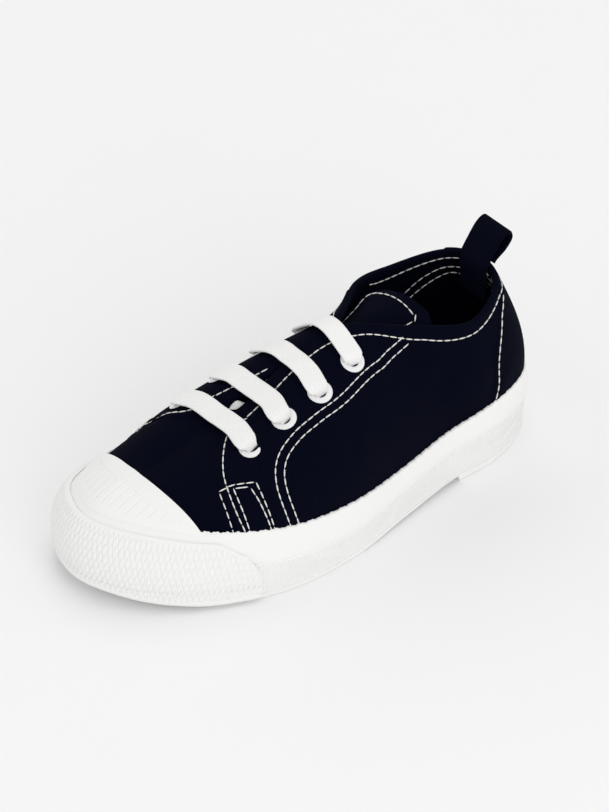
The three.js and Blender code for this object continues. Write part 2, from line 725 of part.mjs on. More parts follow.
export default shoe;
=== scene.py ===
import math

import bmesh
import bpy
import numpy as np
from bpy.props import FloatProperty, FloatVectorProperty, IntProperty, PointerProperty
from mathutils import Matrix, Vector
from mathutils.kdtree import KDTree


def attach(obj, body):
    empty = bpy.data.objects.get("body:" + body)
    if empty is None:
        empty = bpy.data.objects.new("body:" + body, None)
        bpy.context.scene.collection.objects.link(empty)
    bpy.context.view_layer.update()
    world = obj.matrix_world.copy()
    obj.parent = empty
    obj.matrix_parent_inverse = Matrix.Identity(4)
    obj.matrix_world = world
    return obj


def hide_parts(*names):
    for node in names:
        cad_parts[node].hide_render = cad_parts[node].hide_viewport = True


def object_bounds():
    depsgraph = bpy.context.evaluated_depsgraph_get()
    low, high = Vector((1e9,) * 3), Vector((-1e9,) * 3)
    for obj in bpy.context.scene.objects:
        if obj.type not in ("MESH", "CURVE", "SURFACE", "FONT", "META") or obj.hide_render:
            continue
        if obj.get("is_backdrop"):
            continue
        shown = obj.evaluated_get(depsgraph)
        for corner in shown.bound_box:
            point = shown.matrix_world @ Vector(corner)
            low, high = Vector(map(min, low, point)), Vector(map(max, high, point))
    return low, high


bl_info = {
    "name": "Canvas Sneaker",
    "version": (1, 0, 0),
    "blender": (4, 5, 0),
    "location": "3D View > Sidebar > Sneaker",
    "description": "Builds a child's canvas sneaker, left foot, round its CAD frame",
    "category": "Add Mesh",
}

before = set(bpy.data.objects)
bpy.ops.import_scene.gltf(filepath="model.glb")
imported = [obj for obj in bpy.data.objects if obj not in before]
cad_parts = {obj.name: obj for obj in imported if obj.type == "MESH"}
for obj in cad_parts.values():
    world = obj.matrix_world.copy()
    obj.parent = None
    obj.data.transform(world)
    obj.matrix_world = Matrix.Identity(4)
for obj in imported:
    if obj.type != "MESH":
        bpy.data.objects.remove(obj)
CAD_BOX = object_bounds()

# Tables and functions are in millimetres, in the last's own coordinates: +Z up, the toe points
# along -Y and the lateral side is +X. Meshes are in metres, in the frame of the CAD model.
MM = 0.001
CENTRE = np.array([1.9, -2.3, 0.0])

# ---------------------------------------------------------------- tables
THROAT_START = 3.8
THROAT_TAPER = 0.12
SECTION_STEPS = 160
BUMPER_REACH = 3.51
HEEL_BREAST = 7.16


def table(columns, rows):
    """A short table as named columns of numbers."""
    values = np.array(list(rows.values()), float)
    return {name: values[:, i] for i, name in enumerate(columns)}


# The last, one row for each station from the toe tip back to the heel, as in the CAD model.
LAST = table(
    ["y", "lateral", "medial", "top_y", "top_z", "ridge", "top_lateral", "top_medial", "fullness", "swell"],
    {
        "toe_tip": [-92.8, -6.4, -6.4, -65.0, 37.2, -6.0, -6.0, -6.0, 2.5, 1.0],
        "toe_corner": [-88.0, 8.0, -22.5, -61.0, 37.5, -5.5, -5.5, -5.5, 2.5, 1.0],
        "toe_side": [-76.8, 20.6, -29.8, -54.0, 39.4, -5.0, -5.0, -5.0, 2.4, 1.0],
        "joint_front": [-60.0, 30.6, -33.0, -43.0, 44.0, -4.5, -4.5, -4.5, 2.4, 1.0],
        "ball": [-36.0, 37.2, -31.5, -28.0, 49.0, -4.0, -0.2, -6.2, 2.7, 1.5],
        "waist_front": [-10.0, 36.6, -26.5, -8.0, 59.2, -3.0, -0.4, -2.2, 2.4, 2.0],
        "waist": [16.5, 31.0, -23.0, 13.5, 66.4, -2.5, 1.5, -1.5, 1.8, 2.5],
        "heel_front": [42.5, 25.7, -22.5, 36.1, 63.8, -1.0, 15.3, -18.8, 1.1, 3.0],
        "heel_side": [64.5, 23.5, -21.5, 56.3, 60.0, 0.0, 21.1, -23.6, 1.0, 3.5],
        "heel_corner": [82.8, 14.5, -13.5, 73.3, 64.4, 0.0, 14.3, -14.8, 1.0, 5.4],
        "heel_back": [89.2, 0.8, 0.8, 78.1, 67.0, 0.5, 0.5, 0.5, 1.0, 3.8],
    },
)
# Heights of the sole at the same stations, with the line between the foxing's two bands.
SOLE = table(
    ["tread", "edge", "feather", "band_line", "foxing_top"],
    {
        "toe_tip": [5.0, 7.0, 10.0, 19.0, 31.0],
        "toe_corner": [4.3, 6.3, 9.6, 19.0, 30.7],
        "toe_side": [2.0, 4.1, 8.6, 17.5, 29.5],
        "joint_front": [0.0, 2.3, 7.4, 16.3, 27.2],
        "ball": [0.0, 2.2, 7.2, 14.8, 25.0],
        "waist_front": [0.0, 2.3, 7.6, 13.4, 22.8],
        "waist": [1.2, 3.0, 8.8, 15.4, 21.4],
        "heel_front": [2.2, 3.3, 10.0, 16.2, 22.2],
        "heel_side": [2.2, 2.7, 10.8, 17.7, 25.8],
        "heel_corner": [2.2, 2.3, 11.0, 17.2, 27.2],
        "heel_back": [2.2, 2.2, 11.0, 16.6, 26.2],
    },
)
# How far the foxing stands proud of the last, from its lower to its upper edge.
FOXING_PROUD = np.array([3.0, 3.4, 3.6, 3.6, 3.4, 2.8, 1.9])
FOXING_THIN_AT_TOE = 0.75

EYELETS = table(
    ["station", "lateral_inset", "medial_inset"],
    {
        "first": [3.8, 20.4, 20.0],
        "second": [4.43, 16.4, 15.9],
        "third": [5.07, 17.5, 16.4],
        "fourth": [5.76, 14.5, 16.8],
    },
)
TONGUE_LINE = table(
    ["y", "z", "x", "half_width", "fall", "tilt", "skew"],
    {
        "toe_end": [-41.0, 41.0, -4.4, 11.0, 1.0, 0.2, 0.0],
        "throat": [-28.0, 44.6, -4.0, 14.0, 1.4, 0.5, 0.0],
        "lace_two": [-16.0, 50.0, -3.5, 14.0, 3.4, 1.4, 0.0],
        "lace_three": [-4.0, 55.8, -3.1, 13.4, 5.2, 2.9, 0.0],
        "lace_four": [9.0, 60.8, -2.5, 11.2, 7.4, 3.0, 0.0],
        "ears": [20.0, 62.8, -2.0, 11.0, 8.2, 3.2, 0.0],
        "shoulder": [31.0, 64.6, -1.8, 13.2, 7.4, 1.8, 0.6],
        "corner": [38.0, 65.8, -1.0, 15.2, 6.4, 0.3, 1.8],
        "tip": [41.8, 66.2, -0.4, 14.2, 5.4, 0.0, 2.6],
        "end": [43.4, 66.4, 0.0, 10.5, 2.8, 0.0, 2.2],
    },
)
LOOP_LINE = table(
    ["y", "z"],
    {
        "sewn_end": [74.6, 54.0],
        "inside": [74.4, 61.0],
        "collar": [74.2, 67.6],
        "front_leg": [77.6, 73.4],
        "top_front": [81.2, 78.0],
        "top": [84.4, 79.4],
        "top_back": [85.4, 76.6],
        "back_leg": [82.8, 73.2],
        "return": [79.0, 70.6],
        "tucked": [77.6, 69.2],
    },
)

# Seams of each side of the upper as rows of station and inset from the top edge.
SEAMS = {
    "throat_edge": [
        (3.44, 51.5), (3.38, 47.0), (3.28, 38.0), (3.22, 29.0), (3.23, 22.7), (3.34, 16.3),
        (3.53, 11.2), (3.95, 5.7), (4.57, 5.3), (5.22, 4.7), (5.62, 5.2), (6.0, 5.9),
        (6.37, 5.0), (6.9, 4.5), (7.33, 4.9), (7.9, 3.8), (8.36, 2.8), (8.75, 2.2),
        (9.09, 2.2), (9.5, 2.4), (10.0, 2.4),
    ],
    "side_seam": [
        (6.77, 6.3), (6.4, 13.8), (6.07, 20.0), (5.45, 25.2), (4.87, 26.0), (4.5, 26.0), (4.22, 27.8),
        (4.07, 32.2), (4.04, 39.7), (4.12, 51.4), (4.17, 56.6),
    ],
    "backstay": [
        (9.0, 3.4), (8.82, 5.2), (8.63, 7.9), (8.29, 17.9), (8.18, 27.7), (8.02, 36.0), (7.96, 40.0),
    ],
}
# Seams of the medial side alone, where its facing dives under the lateral one.
MEDIAL_SEAMS = {
    "throat_edge": [
        (3.4, 47.0), (3.37, 30.0), (3.42, 22.1), (3.45, 12.0), (3.86, 6.8), (4.17, 4.4), (4.55, 2.1),
        (4.76, 1.0),
    ],
    "collar": [
        (6.02, 1.3), (6.25, 4.0), (6.6, 4.7), (6.9, 4.5), (7.33, 4.9), (7.9, 3.8), (8.36, 2.8),
        (8.75, 2.2), (9.09, 2.2), (9.5, 2.4), (10.0, 2.4),
    ],
}
# The reinforcement over the ball of the foot: lines of station and inset.
PATCH = {
    "front": [(3.08, 29.0), (3.15, 37.5), (3.23, 49.0)],
    "top": [(3.08, 29.0), (3.22, 28.7), (3.42, 30.0), (3.64, 32.2)],
    "rear": [(3.66, 32.4), (3.71, 40.4), (3.79, 55.0)],
    "third": [(3.31, 30.0), (3.38, 39.5), (3.46, 51.5)],
    "inner_top": [(3.33, 30.6), (3.43, 31.4), (3.54, 32.6)],
    "inner_rear": [(3.56, 33.2), (3.62, 37.6), (3.69, 45.6), (3.74, 54.0)],
}
# Seams inside the collar, rows of station and inset.
LINING_SEAMS = {
    "hem": [(7.35, 3.6), (7.61, 4.3), (8.23, 3.3), (8.82, 2.6), (9.22, 2.2), (9.55, 2.2)],
    "upper": [(8.05, 17.0), (8.2, 14.8), (8.52, 10.9), (8.93, 8.2), (9.42, 8.2), (9.55, 8.3)],
    "lower": [(8.1, 21.0), (8.26, 18.5), (8.63, 14.7), (9.05, 11.7), (9.42, 12.9), (9.55, 13.0)],
}
HEEL_TAPE_ROWS = (0.8, 4.5, 9.6, 13.1)
TONGUE_THICKNESS = 1.6
TONGUE_COLUMNS = ("x", "y", "z", "half_width", "fall", "tilt", "skew")
# The bumper over the foxing: it is lowered between two stations, and its ends slant.
BUMPER = {
    "thickness": 1.2, "gap": 0.45, "top_share": 0.87, "slant": 0.17,
    "drop": 0.2, "drop_start": 2.9, "drop_end": 3.4, "plain_top": 0.45, "plain_foot": 1.1,
}
# How far the knurl's diamonds lean over, as a share of their height.
KNURL_LEAN = 0.155
# The toe cap: how far it reaches round the shoe as stations, and its rear edge and the smooth band
# inside that edge as parabolas across the shoe.
CAP = {"gap": 0.3, "thickness": 1.5, "lateral": 2.95, "medial": 2.72, "cusp": -4.5}
CAP_EDGE = {"y": -69.0, "x": -10.0, "bend": 0.0041}
CAP_BAND = {
    "medial": {"width": 6.8, "middle": -11.0, "bend_before": 0.021, "bend_after": 0.03},
    "lateral": {"width": 6.7, "middle": 1.5, "bend_before": 0.033, "bend_after": 0.0095},
}
# Painted shade: the share of its light that the rubber's colour keeps at the bottom of a groove.
GROOVE_SHADE = 0.5


# ---------------------------------------------------------------- the last
END = len(LAST["y"]) - 1
LAP = 2 * END
OTHER_SIDE = {
    "lateral": "medial", "medial": "lateral",
    "top_lateral": "top_medial", "top_medial": "top_lateral",
}


def through(values, before, after, t):
    """A smooth curve through a column, with one value before its start and one past its end."""
    padded = np.concatenate([[before], values, [after]])
    k = np.clip(np.floor(t).astype(int), 0, len(values) - 2)
    a, b, c, d = (padded[k + i] for i in range(4))
    u = t - k
    square = 2 * a - 5 * b + 4 * c - d
    cube = -a + 3 * b - 3 * c + d
    return 0.5 * (2 * b + (c - a) * u + square * u**2 + cube * u**3)


def through_open(values, t):
    """A smooth curve through a column that goes on straight at both ends."""
    values = np.asarray(values, float)
    return through(values, 2 * values[0] - values[1], 2 * values[-1] - values[-2], np.asarray(t, float))


def smoothstep(x, low, high):
    """0 below low and 1 above high, with a soft step between."""
    u = np.clip((x - low) / (high - low), 0, 1)
    return u * u * (3 - 2 * u)


def unit(vectors):
    """Vectors brought to length 1."""
    return vectors / np.maximum(np.linalg.norm(vectors, axis=-1, keepdims=True), 1e-12)


def station(w):
    """The station of a place w round the shoe, from 0 at the toe tip to END at the heel back."""
    w = np.mod(w, LAP)
    return np.where(w <= END, w, LAP - w)


def is_lateral(w):
    """Whether w lies on the outer side of the foot."""
    return np.mod(w, LAP) <= END


def is_closed(w):
    """Whether the section at w is closed over the foot, in front of the throat."""
    return station(w) <= THROAT_START + 1e-9


def column(columns, name, w):
    """A column at w; at toe tip and heel back it runs on into that of the other side."""
    def one(key):
        far = columns[OTHER_SIDE.get(key, key)]
        return through(columns[key], far[1], far[-2], station(w))
    if name not in OTHER_SIDE:
        return one(name)
    return np.where(is_lateral(w), one(name), one(OTHER_SIDE[name]))


def feather_xy(w):
    """The last's outline where it meets the sole."""
    return np.stack([column(LAST, "lateral", w), column(LAST, "y", w)], -1)


def outward_xy(w):
    """The outline's outward direction, level with the ground."""
    step = 0.02
    ahead = feather_xy(w + step) - feather_xy(w - step)
    return unit(np.stack([ahead[..., 1], -ahead[..., 0]], -1))


def top_edge(w):
    """The top of the section: on the ridge over the toes, then spreading into the throat and collar."""
    ridge = column(LAST, "ridge", w)
    opening = np.sqrt(np.clip((station(w) - THROAT_START) / THROAT_TAPER, 0, 1))
    x = ridge + (column(LAST, "top_lateral", w) - ridge) * opening
    return np.stack([x, column(LAST, "top_y", w), column(LAST, "top_z", w)], -1)


def sections(w):
    """For each w the section from the feather line up to the top edge, and its arc lengths."""
    w = np.atleast_1d(np.asarray(w, float))[:, None]
    angle = np.linspace(0, np.pi / 2, SECTION_STEPS + 1)[None, :]
    power = 2 / np.maximum(column(LAST, "fullness", w), 1)
    inward = 1 - np.maximum(np.cos(angle), 0) ** power
    rise = np.sin(angle) ** power
    bulge = column(LAST, "swell", w) * np.sin(np.pi * rise)
    foot, out, top = feather_xy(w), outward_xy(w), top_edge(w)
    xy = foot + (top[..., :2] - foot) * inward[..., None] + out * bulge[..., None]
    low = column(SOLE, "feather", w)
    z = low + (top[..., 2] - low) * rise
    points = np.concatenate([xy, z[..., None]], -1)
    steps = np.linalg.norm(np.diff(points, axis=1), axis=-1)
    lengths = np.concatenate([np.zeros((len(w), 1)), np.cumsum(steps, 1)], 1)
    return points, lengths


def girth(w):
    """The section's length from the feather line to the top edge."""
    return sections(w)[1][:, -1]


def on_section(w, f):
    """Points at shares f of the way up each section."""
    points, lengths = sections(w)
    result = np.empty(f.shape + (3,))
    for i, share in enumerate(f):
        place = share * lengths[i, -1]
        for axis in range(3):
            result[i, :, axis] = np.interp(place, lengths[i], points[i, :, axis])
    return result


def rows_of(w, f):
    """Places w as a list and shares f as one row for each."""
    w = np.atleast_1d(np.asarray(w, float))
    f = np.asarray(f, float)
    return w, np.broadcast_to(f, (len(w), f.shape[-1]))


def last_point(w, f):
    """Points of the last. w runs round the shoe and f is the share of the way up the section.
    Past the ridge of a closed section the surface goes on down its other side."""
    w, f = rows_of(w, f)
    result = on_section(w, np.clip(f, 0, 1))
    over, under = f > 1, f < 0
    if over.any():
        back = np.clip(2 - f, 0, 1)
        mirrored = 2 * on_section(w, np.ones_like(f)) - on_section(w, back)
        past = np.where(is_closed(w)[:, None, None], on_section(LAP - w, back), mirrored)
        result = np.where(over[..., None], past, result)
    if under.any():
        below = 2 * on_section(w, np.zeros_like(f)) - on_section(w, np.clip(-f, 0, 1))
        result = np.where(under[..., None], below, result)
    return result


def last_normal(w, f):
    """The last's outward normal. At the throat's start the step along the shoe stays on the
    closed part, and at the toe tip the step up stays short of the ridge."""
    step_w, step_f = 0.06, 0.03
    w, f = rows_of(w, f)
    f = np.where(station(w)[:, None] < 1e-6, np.minimum(f, 1 - step_f), f)

    def within(other):
        return np.where(is_closed(w) & ~is_closed(other), w, other)

    ahead = last_point(within(w + step_w), f) - last_point(within(w - step_w), f)
    return unit(np.cross(ahead, last_point(w, f + step_f) - last_point(w, f - step_f)))


def proud(w, f, distance):
    """Points that stand a distance off the last."""
    return last_point(w, f) + last_normal(w, f) * np.asarray(distance, float)[..., None]


def share_at_height(w, z):
    """The share of the way up each section at which it reaches a height."""
    points, lengths = sections(w)
    z = np.broadcast_to(z, (len(points), np.shape(z)[-1]))
    heights = points[..., 2]
    return np.stack([np.interp(z[i], heights[i], run) / run[-1] for i, run in enumerate(lengths)])


def wall_point(w, height, distance):
    """A point off the last at a height; below the feather line the wall stands straight down."""
    w, height = rows_of(w, height)
    distance = np.broadcast_to(distance, height.shape)
    feather = column(SOLE, "feather", w)[:, None]
    above = proud(w, share_at_height(w, np.maximum(height, feather)), distance)
    xy = feather_xy(w)[:, None, :] + outward_xy(w)[:, None, :] * distance[..., None]
    straight = np.concatenate([xy, height[..., None]], -1)
    return np.where((height > feather)[..., None], above, straight)


def foxing_proud(w, height):
    """The foxing's outer face, by the share of its height."""
    knots = len(FOXING_PROUD) - 1
    full = through_open(FOXING_PROUD, np.clip(height, 0, 1) * knots)
    behind_bumper = smoothstep(station(w), BUMPER_REACH - 0.5, BUMPER_REACH + 0.3)
    thin = FOXING_THIN_AT_TOE + (1 - FOXING_THIN_AT_TOE) * behind_bumper
    return full * np.reshape(thin, (-1, 1))


def seam_points(rows, lift, side=1, spacing=0.5):
    """A seam as points and normals, even spacing apart, from rows of station and inset."""
    rows = np.array(rows, float)
    t = np.linspace(0, len(rows) - 1, 16 * len(rows))
    stations = np.clip(through_open(rows[:, 0], t), 0, END)
    insets = np.maximum(through_open(rows[:, 1], t), 0)
    w = stations if side > 0 else LAP - stations
    f = (1 - insets / girth(w))[:, None]
    normals = last_normal(w, f)[:, 0]
    points = last_point(w, f)[:, 0] + normals * lift
    return resample(points, normals, spacing)


def resample(points, normals, spacing):
    """The same line with its points even steps apart."""
    along = lengths_along(points)
    places = np.linspace(0, along[-1], max(int(along[-1] / spacing), 2) + 1)

    def at(values):
        return np.stack([np.interp(places, along, values[:, k]) for k in range(3)], -1)

    return at(points), unit(at(normals))


def lengths_along(points):
    """The distance along a line to each of its points."""
    steps = np.linalg.norm(np.diff(points, axis=0), axis=1)
    return np.concatenate([[0], np.cumsum(steps)])


# ---------------------------------------------------------------- meshes
def finish_mesh(mesh, name, sharp=40.0):
    """Merges doubles, turns the faces outwards, shades smooth and puts the piece in the scene."""
    build = bmesh.new()
    build.from_mesh(mesh)
    bmesh.ops.remove_doubles(build, verts=build.verts, dist=1e-7)
    bmesh.ops.dissolve_degenerate(build, edges=build.edges, dist=1e-8)
    if build.calc_volume(signed=True) < 0:
        bmesh.ops.reverse_faces(build, faces=build.faces)
    build.to_mesh(mesh)
    build.free()
    mesh.shade_smooth()
    mesh.set_sharp_from_angle(angle=math.radians(sharp))
    piece = bpy.data.objects.new(name, mesh)
    bpy.context.scene.collection.objects.link(piece)
    return piece


def grid_faces(count, size, lap, wrap):
    """Corners of a grid's faces, as vertex numbers and as grid places that don't wrap."""
    i = np.arange(count if lap else count - 1)[:, None]
    j = np.arange(size if wrap else size - 1)[None, :]
    i, j = np.broadcast_arrays(i, j)
    places = [(i, j), (i, j + 1), (i + 1, j + 1), (i + 1, j)]
    corners = np.stack([(a % count) * size + b % size for a, b in places], -1)
    return corners.reshape(-1, 4), places


def loft(name, rings, uv, lap=False, marks=None, sharp=40.0):
    """A closed skin through rings of equal length. Unless the rings lap, both ends are closed.
    uv has one more row and column than the rings where they wrap; marks are point attributes."""
    count, size = rings.shape[:2]
    corners, places = grid_faces(count, size, lap, True)
    faces = corners.tolist()
    uvs = np.stack([uv[a, b] for a, b in places], 2).reshape(-1, 2)
    if not lap:
        faces.append(list(reversed(range(size))))
        faces.append([(count - 1) * size + k for k in range(size)])
        ends = [uv[0, 0]] * size + [uv[-1, 0]] * size
        uvs = np.concatenate([uvs, np.array(ends)])
    mesh = bpy.data.meshes.new(name)
    mesh.from_pydata(((rings.reshape(-1, 3) - CENTRE) * MM).tolist(), [], faces)
    layer = mesh.uv_layers.new(name="cloth")
    layer.data.foreach_set("uv", (uvs * MM).astype(np.float32).ravel())
    for mark, values in (marks or {}).items():
        attribute = mesh.attributes.new(mark, "FLOAT", "POINT")
        attribute.data.foreach_set("value", values.astype(np.float32).ravel())
    return finish_mesh(mesh, name, sharp)


def measured(rings, lap=False):
    """Distances along and round rings of points, as the uv of a loft."""
    closed = np.concatenate([rings, rings[:, :1]], 1)
    if lap:
        closed = np.concatenate([closed, closed[:1]], 0)
    round_way = np.cumsum(np.linalg.norm(np.diff(closed, axis=1), axis=-1), 1)
    round_way = np.concatenate([np.zeros((len(closed), 1)), round_way], 1)
    along = np.cumsum(np.linalg.norm(np.diff(closed, axis=0), axis=-1), 0)
    along = np.concatenate([np.zeros((1, closed.shape[1])), along], 0)
    return np.stack([along, round_way], -1)


def rounded(start, end, away, steps):
    """Points of a soft edge that bulges from start to end, both left out."""
    angles = np.linspace(0, np.pi, steps + 2)[1:-1]
    middle, half = (start + end) / 2, (start - end) / 2
    reach = np.linalg.norm(half, axis=-1, keepdims=True)
    curve = [middle + half * np.cos(a) + unit(away) * reach * np.sin(a) for a in angles]
    return np.stack(curve, -2)


def sweep(points, across_way, outline, size_at, count):
    """Rings of a flat tape along a smooth curve; outline is in shares of half width and height."""
    places = np.linspace(0, len(points) - 1, 24 * len(points))
    line = np.stack([through_open(points[:, k], places) for k in range(3)], -1)
    line, _ = resample(line, line, np.linalg.norm(np.diff(line, axis=0), axis=1).sum() / count)
    tangent = unit(np.gradient(line, axis=0))
    across = unit(across_way - tangent * (tangent @ across_way)[:, None])
    up = np.cross(tangent, across)
    width, height = size_at(np.linspace(0, 1, len(line)))
    side = outline[None, :, 0, None] * across[:, None, :] * width[:, None, None] / 2
    rise = outline[None, :, 1, None] * up[:, None, :] * height[:, None, None] / 2
    return line[:, None, :] + side + rise


def tape_outline(ribs, depth, per_rib=4, round_share=0.18):
    """A flat tape's section with lengthwise ribs on both faces and round edges."""
    x = np.linspace(-1, 1, ribs * per_rib + 1)
    edge = np.sqrt(np.clip(1 - np.clip((np.abs(x) - 1 + round_share) / round_share, 0, 1) ** 2, 0, 1))
    wave = 1 - depth * (0.5 - 0.5 * np.cos(2 * np.pi * (x + 1) / 2 * ribs))
    face = np.stack([x, edge * wave], -1)
    back = np.stack([x[1:-1], -(edge * wave)[1:-1]], -1)[::-1]
    return np.concatenate([face, back])


# ---------------------------------------------------------------- geometry node trees
class Tree:
    """A short way to write a node tree: add a node, set its sockets and link others to them."""

    def __init__(self, name, kind):
        self.tree = bpy.data.node_groups.new(name, kind)
        if kind == "GeometryNodeTree":
            self.tree.is_modifier = True

    def socket(self, name, kind, way="INPUT", default=None):
        made = self.tree.interface.new_socket(name=name, in_out=way, socket_type=kind)
        if default is not None:
            made.default_value = default
        return made.identifier

    def add(self, kind, links=None, **settings):
        return add_node(self.tree, kind, links, **settings)

    def finish(self, geometry, material, smooth=False):
        """Realizes what the tree made, gives it its material and puts it out."""
        made = self.add("GeometryNodeRealizeInstances", {"Geometry": geometry}).outputs[0]
        if smooth:
            made = self.add("GeometryNodeSetShadeSmooth", {"Geometry": made}).outputs[0]
        links = {"Geometry": made, "Material": material}
        dressed = self.add("GeometryNodeSetMaterial", links).outputs[0]
        self.add("NodeGroupOutput", {"Geometry": dressed})


def add_node(tree, kind, links=None, **settings):
    """Adds a node; links holds socket names or numbers with a value or another node's socket."""
    node = tree.nodes.new(kind)
    for key, value in settings.items():
        setattr(node, key, value)
    for key, value in (links or {}).items():
        socket = node.inputs[key]
        if isinstance(value, bpy.types.NodeSocket):
            tree.links.new(value, socket)
        else:
            socket.default_value = value
    return node


def named_mark(tree, name, kind):
    """A point attribute of the piece as a node's output."""
    node = add_node(tree, "GeometryNodeInputNamedAttribute", {"Name": name}, data_type=kind)
    return node.outputs["Attribute"]


def maths(tree, operation, *values):
    """A math node on numbers or sockets."""
    return add_node(tree, "ShaderNodeMath", dict(enumerate(values)), operation=operation).outputs[0]


def apply_tree(piece, tree, values):
    """Runs a geometry node tree on a piece and keeps the result as a plain mesh."""
    modifier = piece.modifiers.new(tree.name, "NODES")
    modifier.node_group = tree
    names = {s.name: s.identifier for s in tree.interface.items_tree if s.item_type == "SOCKET"}
    for name, value in values.items():
        modifier[names[name]] = value
    bpy.context.view_layer.update()
    evaluated = piece.evaluated_get(bpy.context.evaluated_depsgraph_get())
    made = bpy.data.meshes.new_from_object(evaluated)
    piece.modifiers.remove(modifier)
    spare, piece.data = piece.data, made
    bpy.data.meshes.remove(spare)
    made.name = piece.name
    return piece


def moulded_ribs_tree():
    """Cuts slanted or crossed grooves into a surface that has marks along, up and field, and keeps each
    groove's depth as the mark groove for the painted shade of the rubber's material.
    """
    made = Tree("Moulded Ribs", "GeometryNodeTree")
    tree = made.tree
    made.socket("Geometry", "NodeSocketGeometry")
    for name, default in (
        ("Pitch", 0.0019), ("Slant", 0.5), ("Depth", 0.00025), ("Groove", 1.0), ("Crossed", 0.0),
    ):
        made.socket(name, "NodeSocketFloat", default=default)
    made.socket("Material", "NodeSocketMaterial")
    made.socket("Geometry", "NodeSocketGeometry", "OUTPUT")
    inputs = made.add("NodeGroupInput").outputs

    along, up, field = (named_mark(tree, name, "FLOAT") for name in ("along", "up", "field"))
    lean = maths(tree, "MULTIPLY", up, inputs["Slant"])

    def ribs(operation):
        phase = maths(tree, "DIVIDE", maths(tree, operation, along, lean), inputs["Pitch"])
        share = maths(tree, "ABSOLUTE", maths(tree, "SUBTRACT", maths(tree, "FRACT", phase), 0.5))
        from_groove = maths(tree, "SUBTRACT", 1.0, maths(tree, "MULTIPLY", share, 2.0))
        return maths(tree, "MINIMUM", maths(tree, "DIVIDE", from_groove, inputs["Groove"]), 1.0)

    plain = maths(tree, "SUBTRACT", 1.0, inputs["Crossed"])
    second = maths(tree, "MAXIMUM", ribs("SUBTRACT"), plain)
    height = maths(tree, "MINIMUM", ribs("ADD"), second)
    soft = made.add("ShaderNodeMapRange", {"Value": height}, interpolation_type="SMOOTHSTEP").outputs[0]
    groove = maths(tree, "MULTIPLY", maths(tree, "SUBTRACT", 1.0, soft), field)
    cut = maths(tree, "MULTIPLY", groove, maths(tree, "MULTIPLY", inputs["Depth"], -1.0))
    normal = made.add("GeometryNodeInputNormal").outputs[0]
    offset = made.add("ShaderNodeVectorMath", {0: normal, "Scale": cut}, operation="SCALE").outputs[0]
    moved = made.add("GeometryNodeSetPosition", {"Geometry": inputs["Geometry"], "Offset": offset}).outputs[0]
    # The groove's depth is kept so that the rubber's material paints shade at the bottom of the groove.
    kept = {"Geometry": moved, "Name": "groove", "Value": groove}
    marked = made.add("GeometryNodeStoreNamedAttribute", kept, data_type="FLOAT").outputs[0]
    made.finish(marked, inputs["Material"])
    return tree


def stitch_tree():
    """Sets thread stitches end to end along the edges of a seam, facing its mark face."""
    made = Tree("Stitch Row", "GeometryNodeTree")
    tree = made.tree
    made.socket("Geometry", "NodeSocketGeometry")
    for name, default in (("Pitch", 0.0031), ("Length", 0.0029), ("Thickness", 0.0007)):
        made.socket(name, "NodeSocketFloat", default=default)
    made.socket("Seed", "NodeSocketInt", default=5)
    made.socket("Material", "NodeSocketMaterial")
    made.socket("Geometry", "NodeSocketGeometry", "OUTPUT")
    inputs = made.add("NodeGroupInput").outputs
    curve = made.add("GeometryNodeMeshToCurve", {"Mesh": inputs["Geometry"]}).outputs[0]
    steps = {"Curve": curve, "Length": inputs["Pitch"]}
    even = made.add("GeometryNodeResampleCurve", steps, mode="LENGTH").outputs[0]
    tangent = made.add("GeometryNodeInputTangent").outputs[0]
    face = named_mark(tree, "face", "FLOAT_VECTOR")
    turned = made.add("FunctionNodeAlignRotationToVector", {"Vector": tangent}, axis="X").outputs[0]
    facing = made.add(
        "FunctionNodeAlignRotationToVector", {"Rotation": turned, "Vector": face}, axis="Z", pivot_axis="X"
    ).outputs[0]
    thread = made.add("GeometryNodeMeshUVSphere", {"Segments": 8, "Rings": 6, "Radius": 0.5}).outputs[0]
    uneven = {2: 0.92, 3: 1.08, "Seed": inputs["Seed"]}
    wobble = made.add("FunctionNodeRandomValue", uneven, data_type="FLOAT").outputs[1]
    length = maths(tree, "MULTIPLY", inputs["Length"], wobble)
    thick = inputs["Thickness"]
    size = made.add("ShaderNodeCombineXYZ", {"X": length, "Y": thick, "Z": thick}).outputs[0]
    links = {"Points": even, "Instance": thread, "Rotation": facing, "Scale": size}
    placed = made.add("GeometryNodeInstanceOnPoints", links).outputs[0]
    made.finish(placed, inputs["Material"], smooth=True)
    return tree


def tree_named(name, build):
    """A node tree by name, built when it is first asked for."""
    return bpy.data.node_groups.get(name) or build()


def seam_object(name, lines):
    """Seam lines, each as points and normals, as one object of edges with the mark face."""
    points, edges, faces, start = [], [], [], 0
    for line, normals in lines:
        points.append(line)
        faces.append(normals)
        edges += [(start + k, start + k + 1) for k in range(len(line) - 1)]
        start += len(line)
    mesh = bpy.data.meshes.new(name)
    mesh.from_pydata(((np.concatenate(points) - CENTRE) * MM).tolist(), edges, [])
    attribute = mesh.attributes.new("face", "FLOAT_VECTOR", "POINT")
    attribute.data.foreach_set("vector", np.concatenate(faces).astype(np.float32).ravel())
    piece = bpy.data.objects.new(name, mesh)
    bpy.context.scene.collection.objects.link(piece)
    return piece


def sew(name, lines, slot, sizes, material):
    """Stitches along seam lines, as one plain mesh. Each row stops half a stitch from its ends."""
    piece = seam_object(name, [(line[3:-3], normals[3:-3]) for line, normals in lines])
    values = {
        "Pitch": sizes.pitch, "Length": sizes.length, "Thickness": sizes.thickness,
        "Seed": sizes.seed, "Material": material,
    }
    apply_tree(piece, tree_named("Stitch Row", stitch_tree), values)
    return settle(piece, slot)


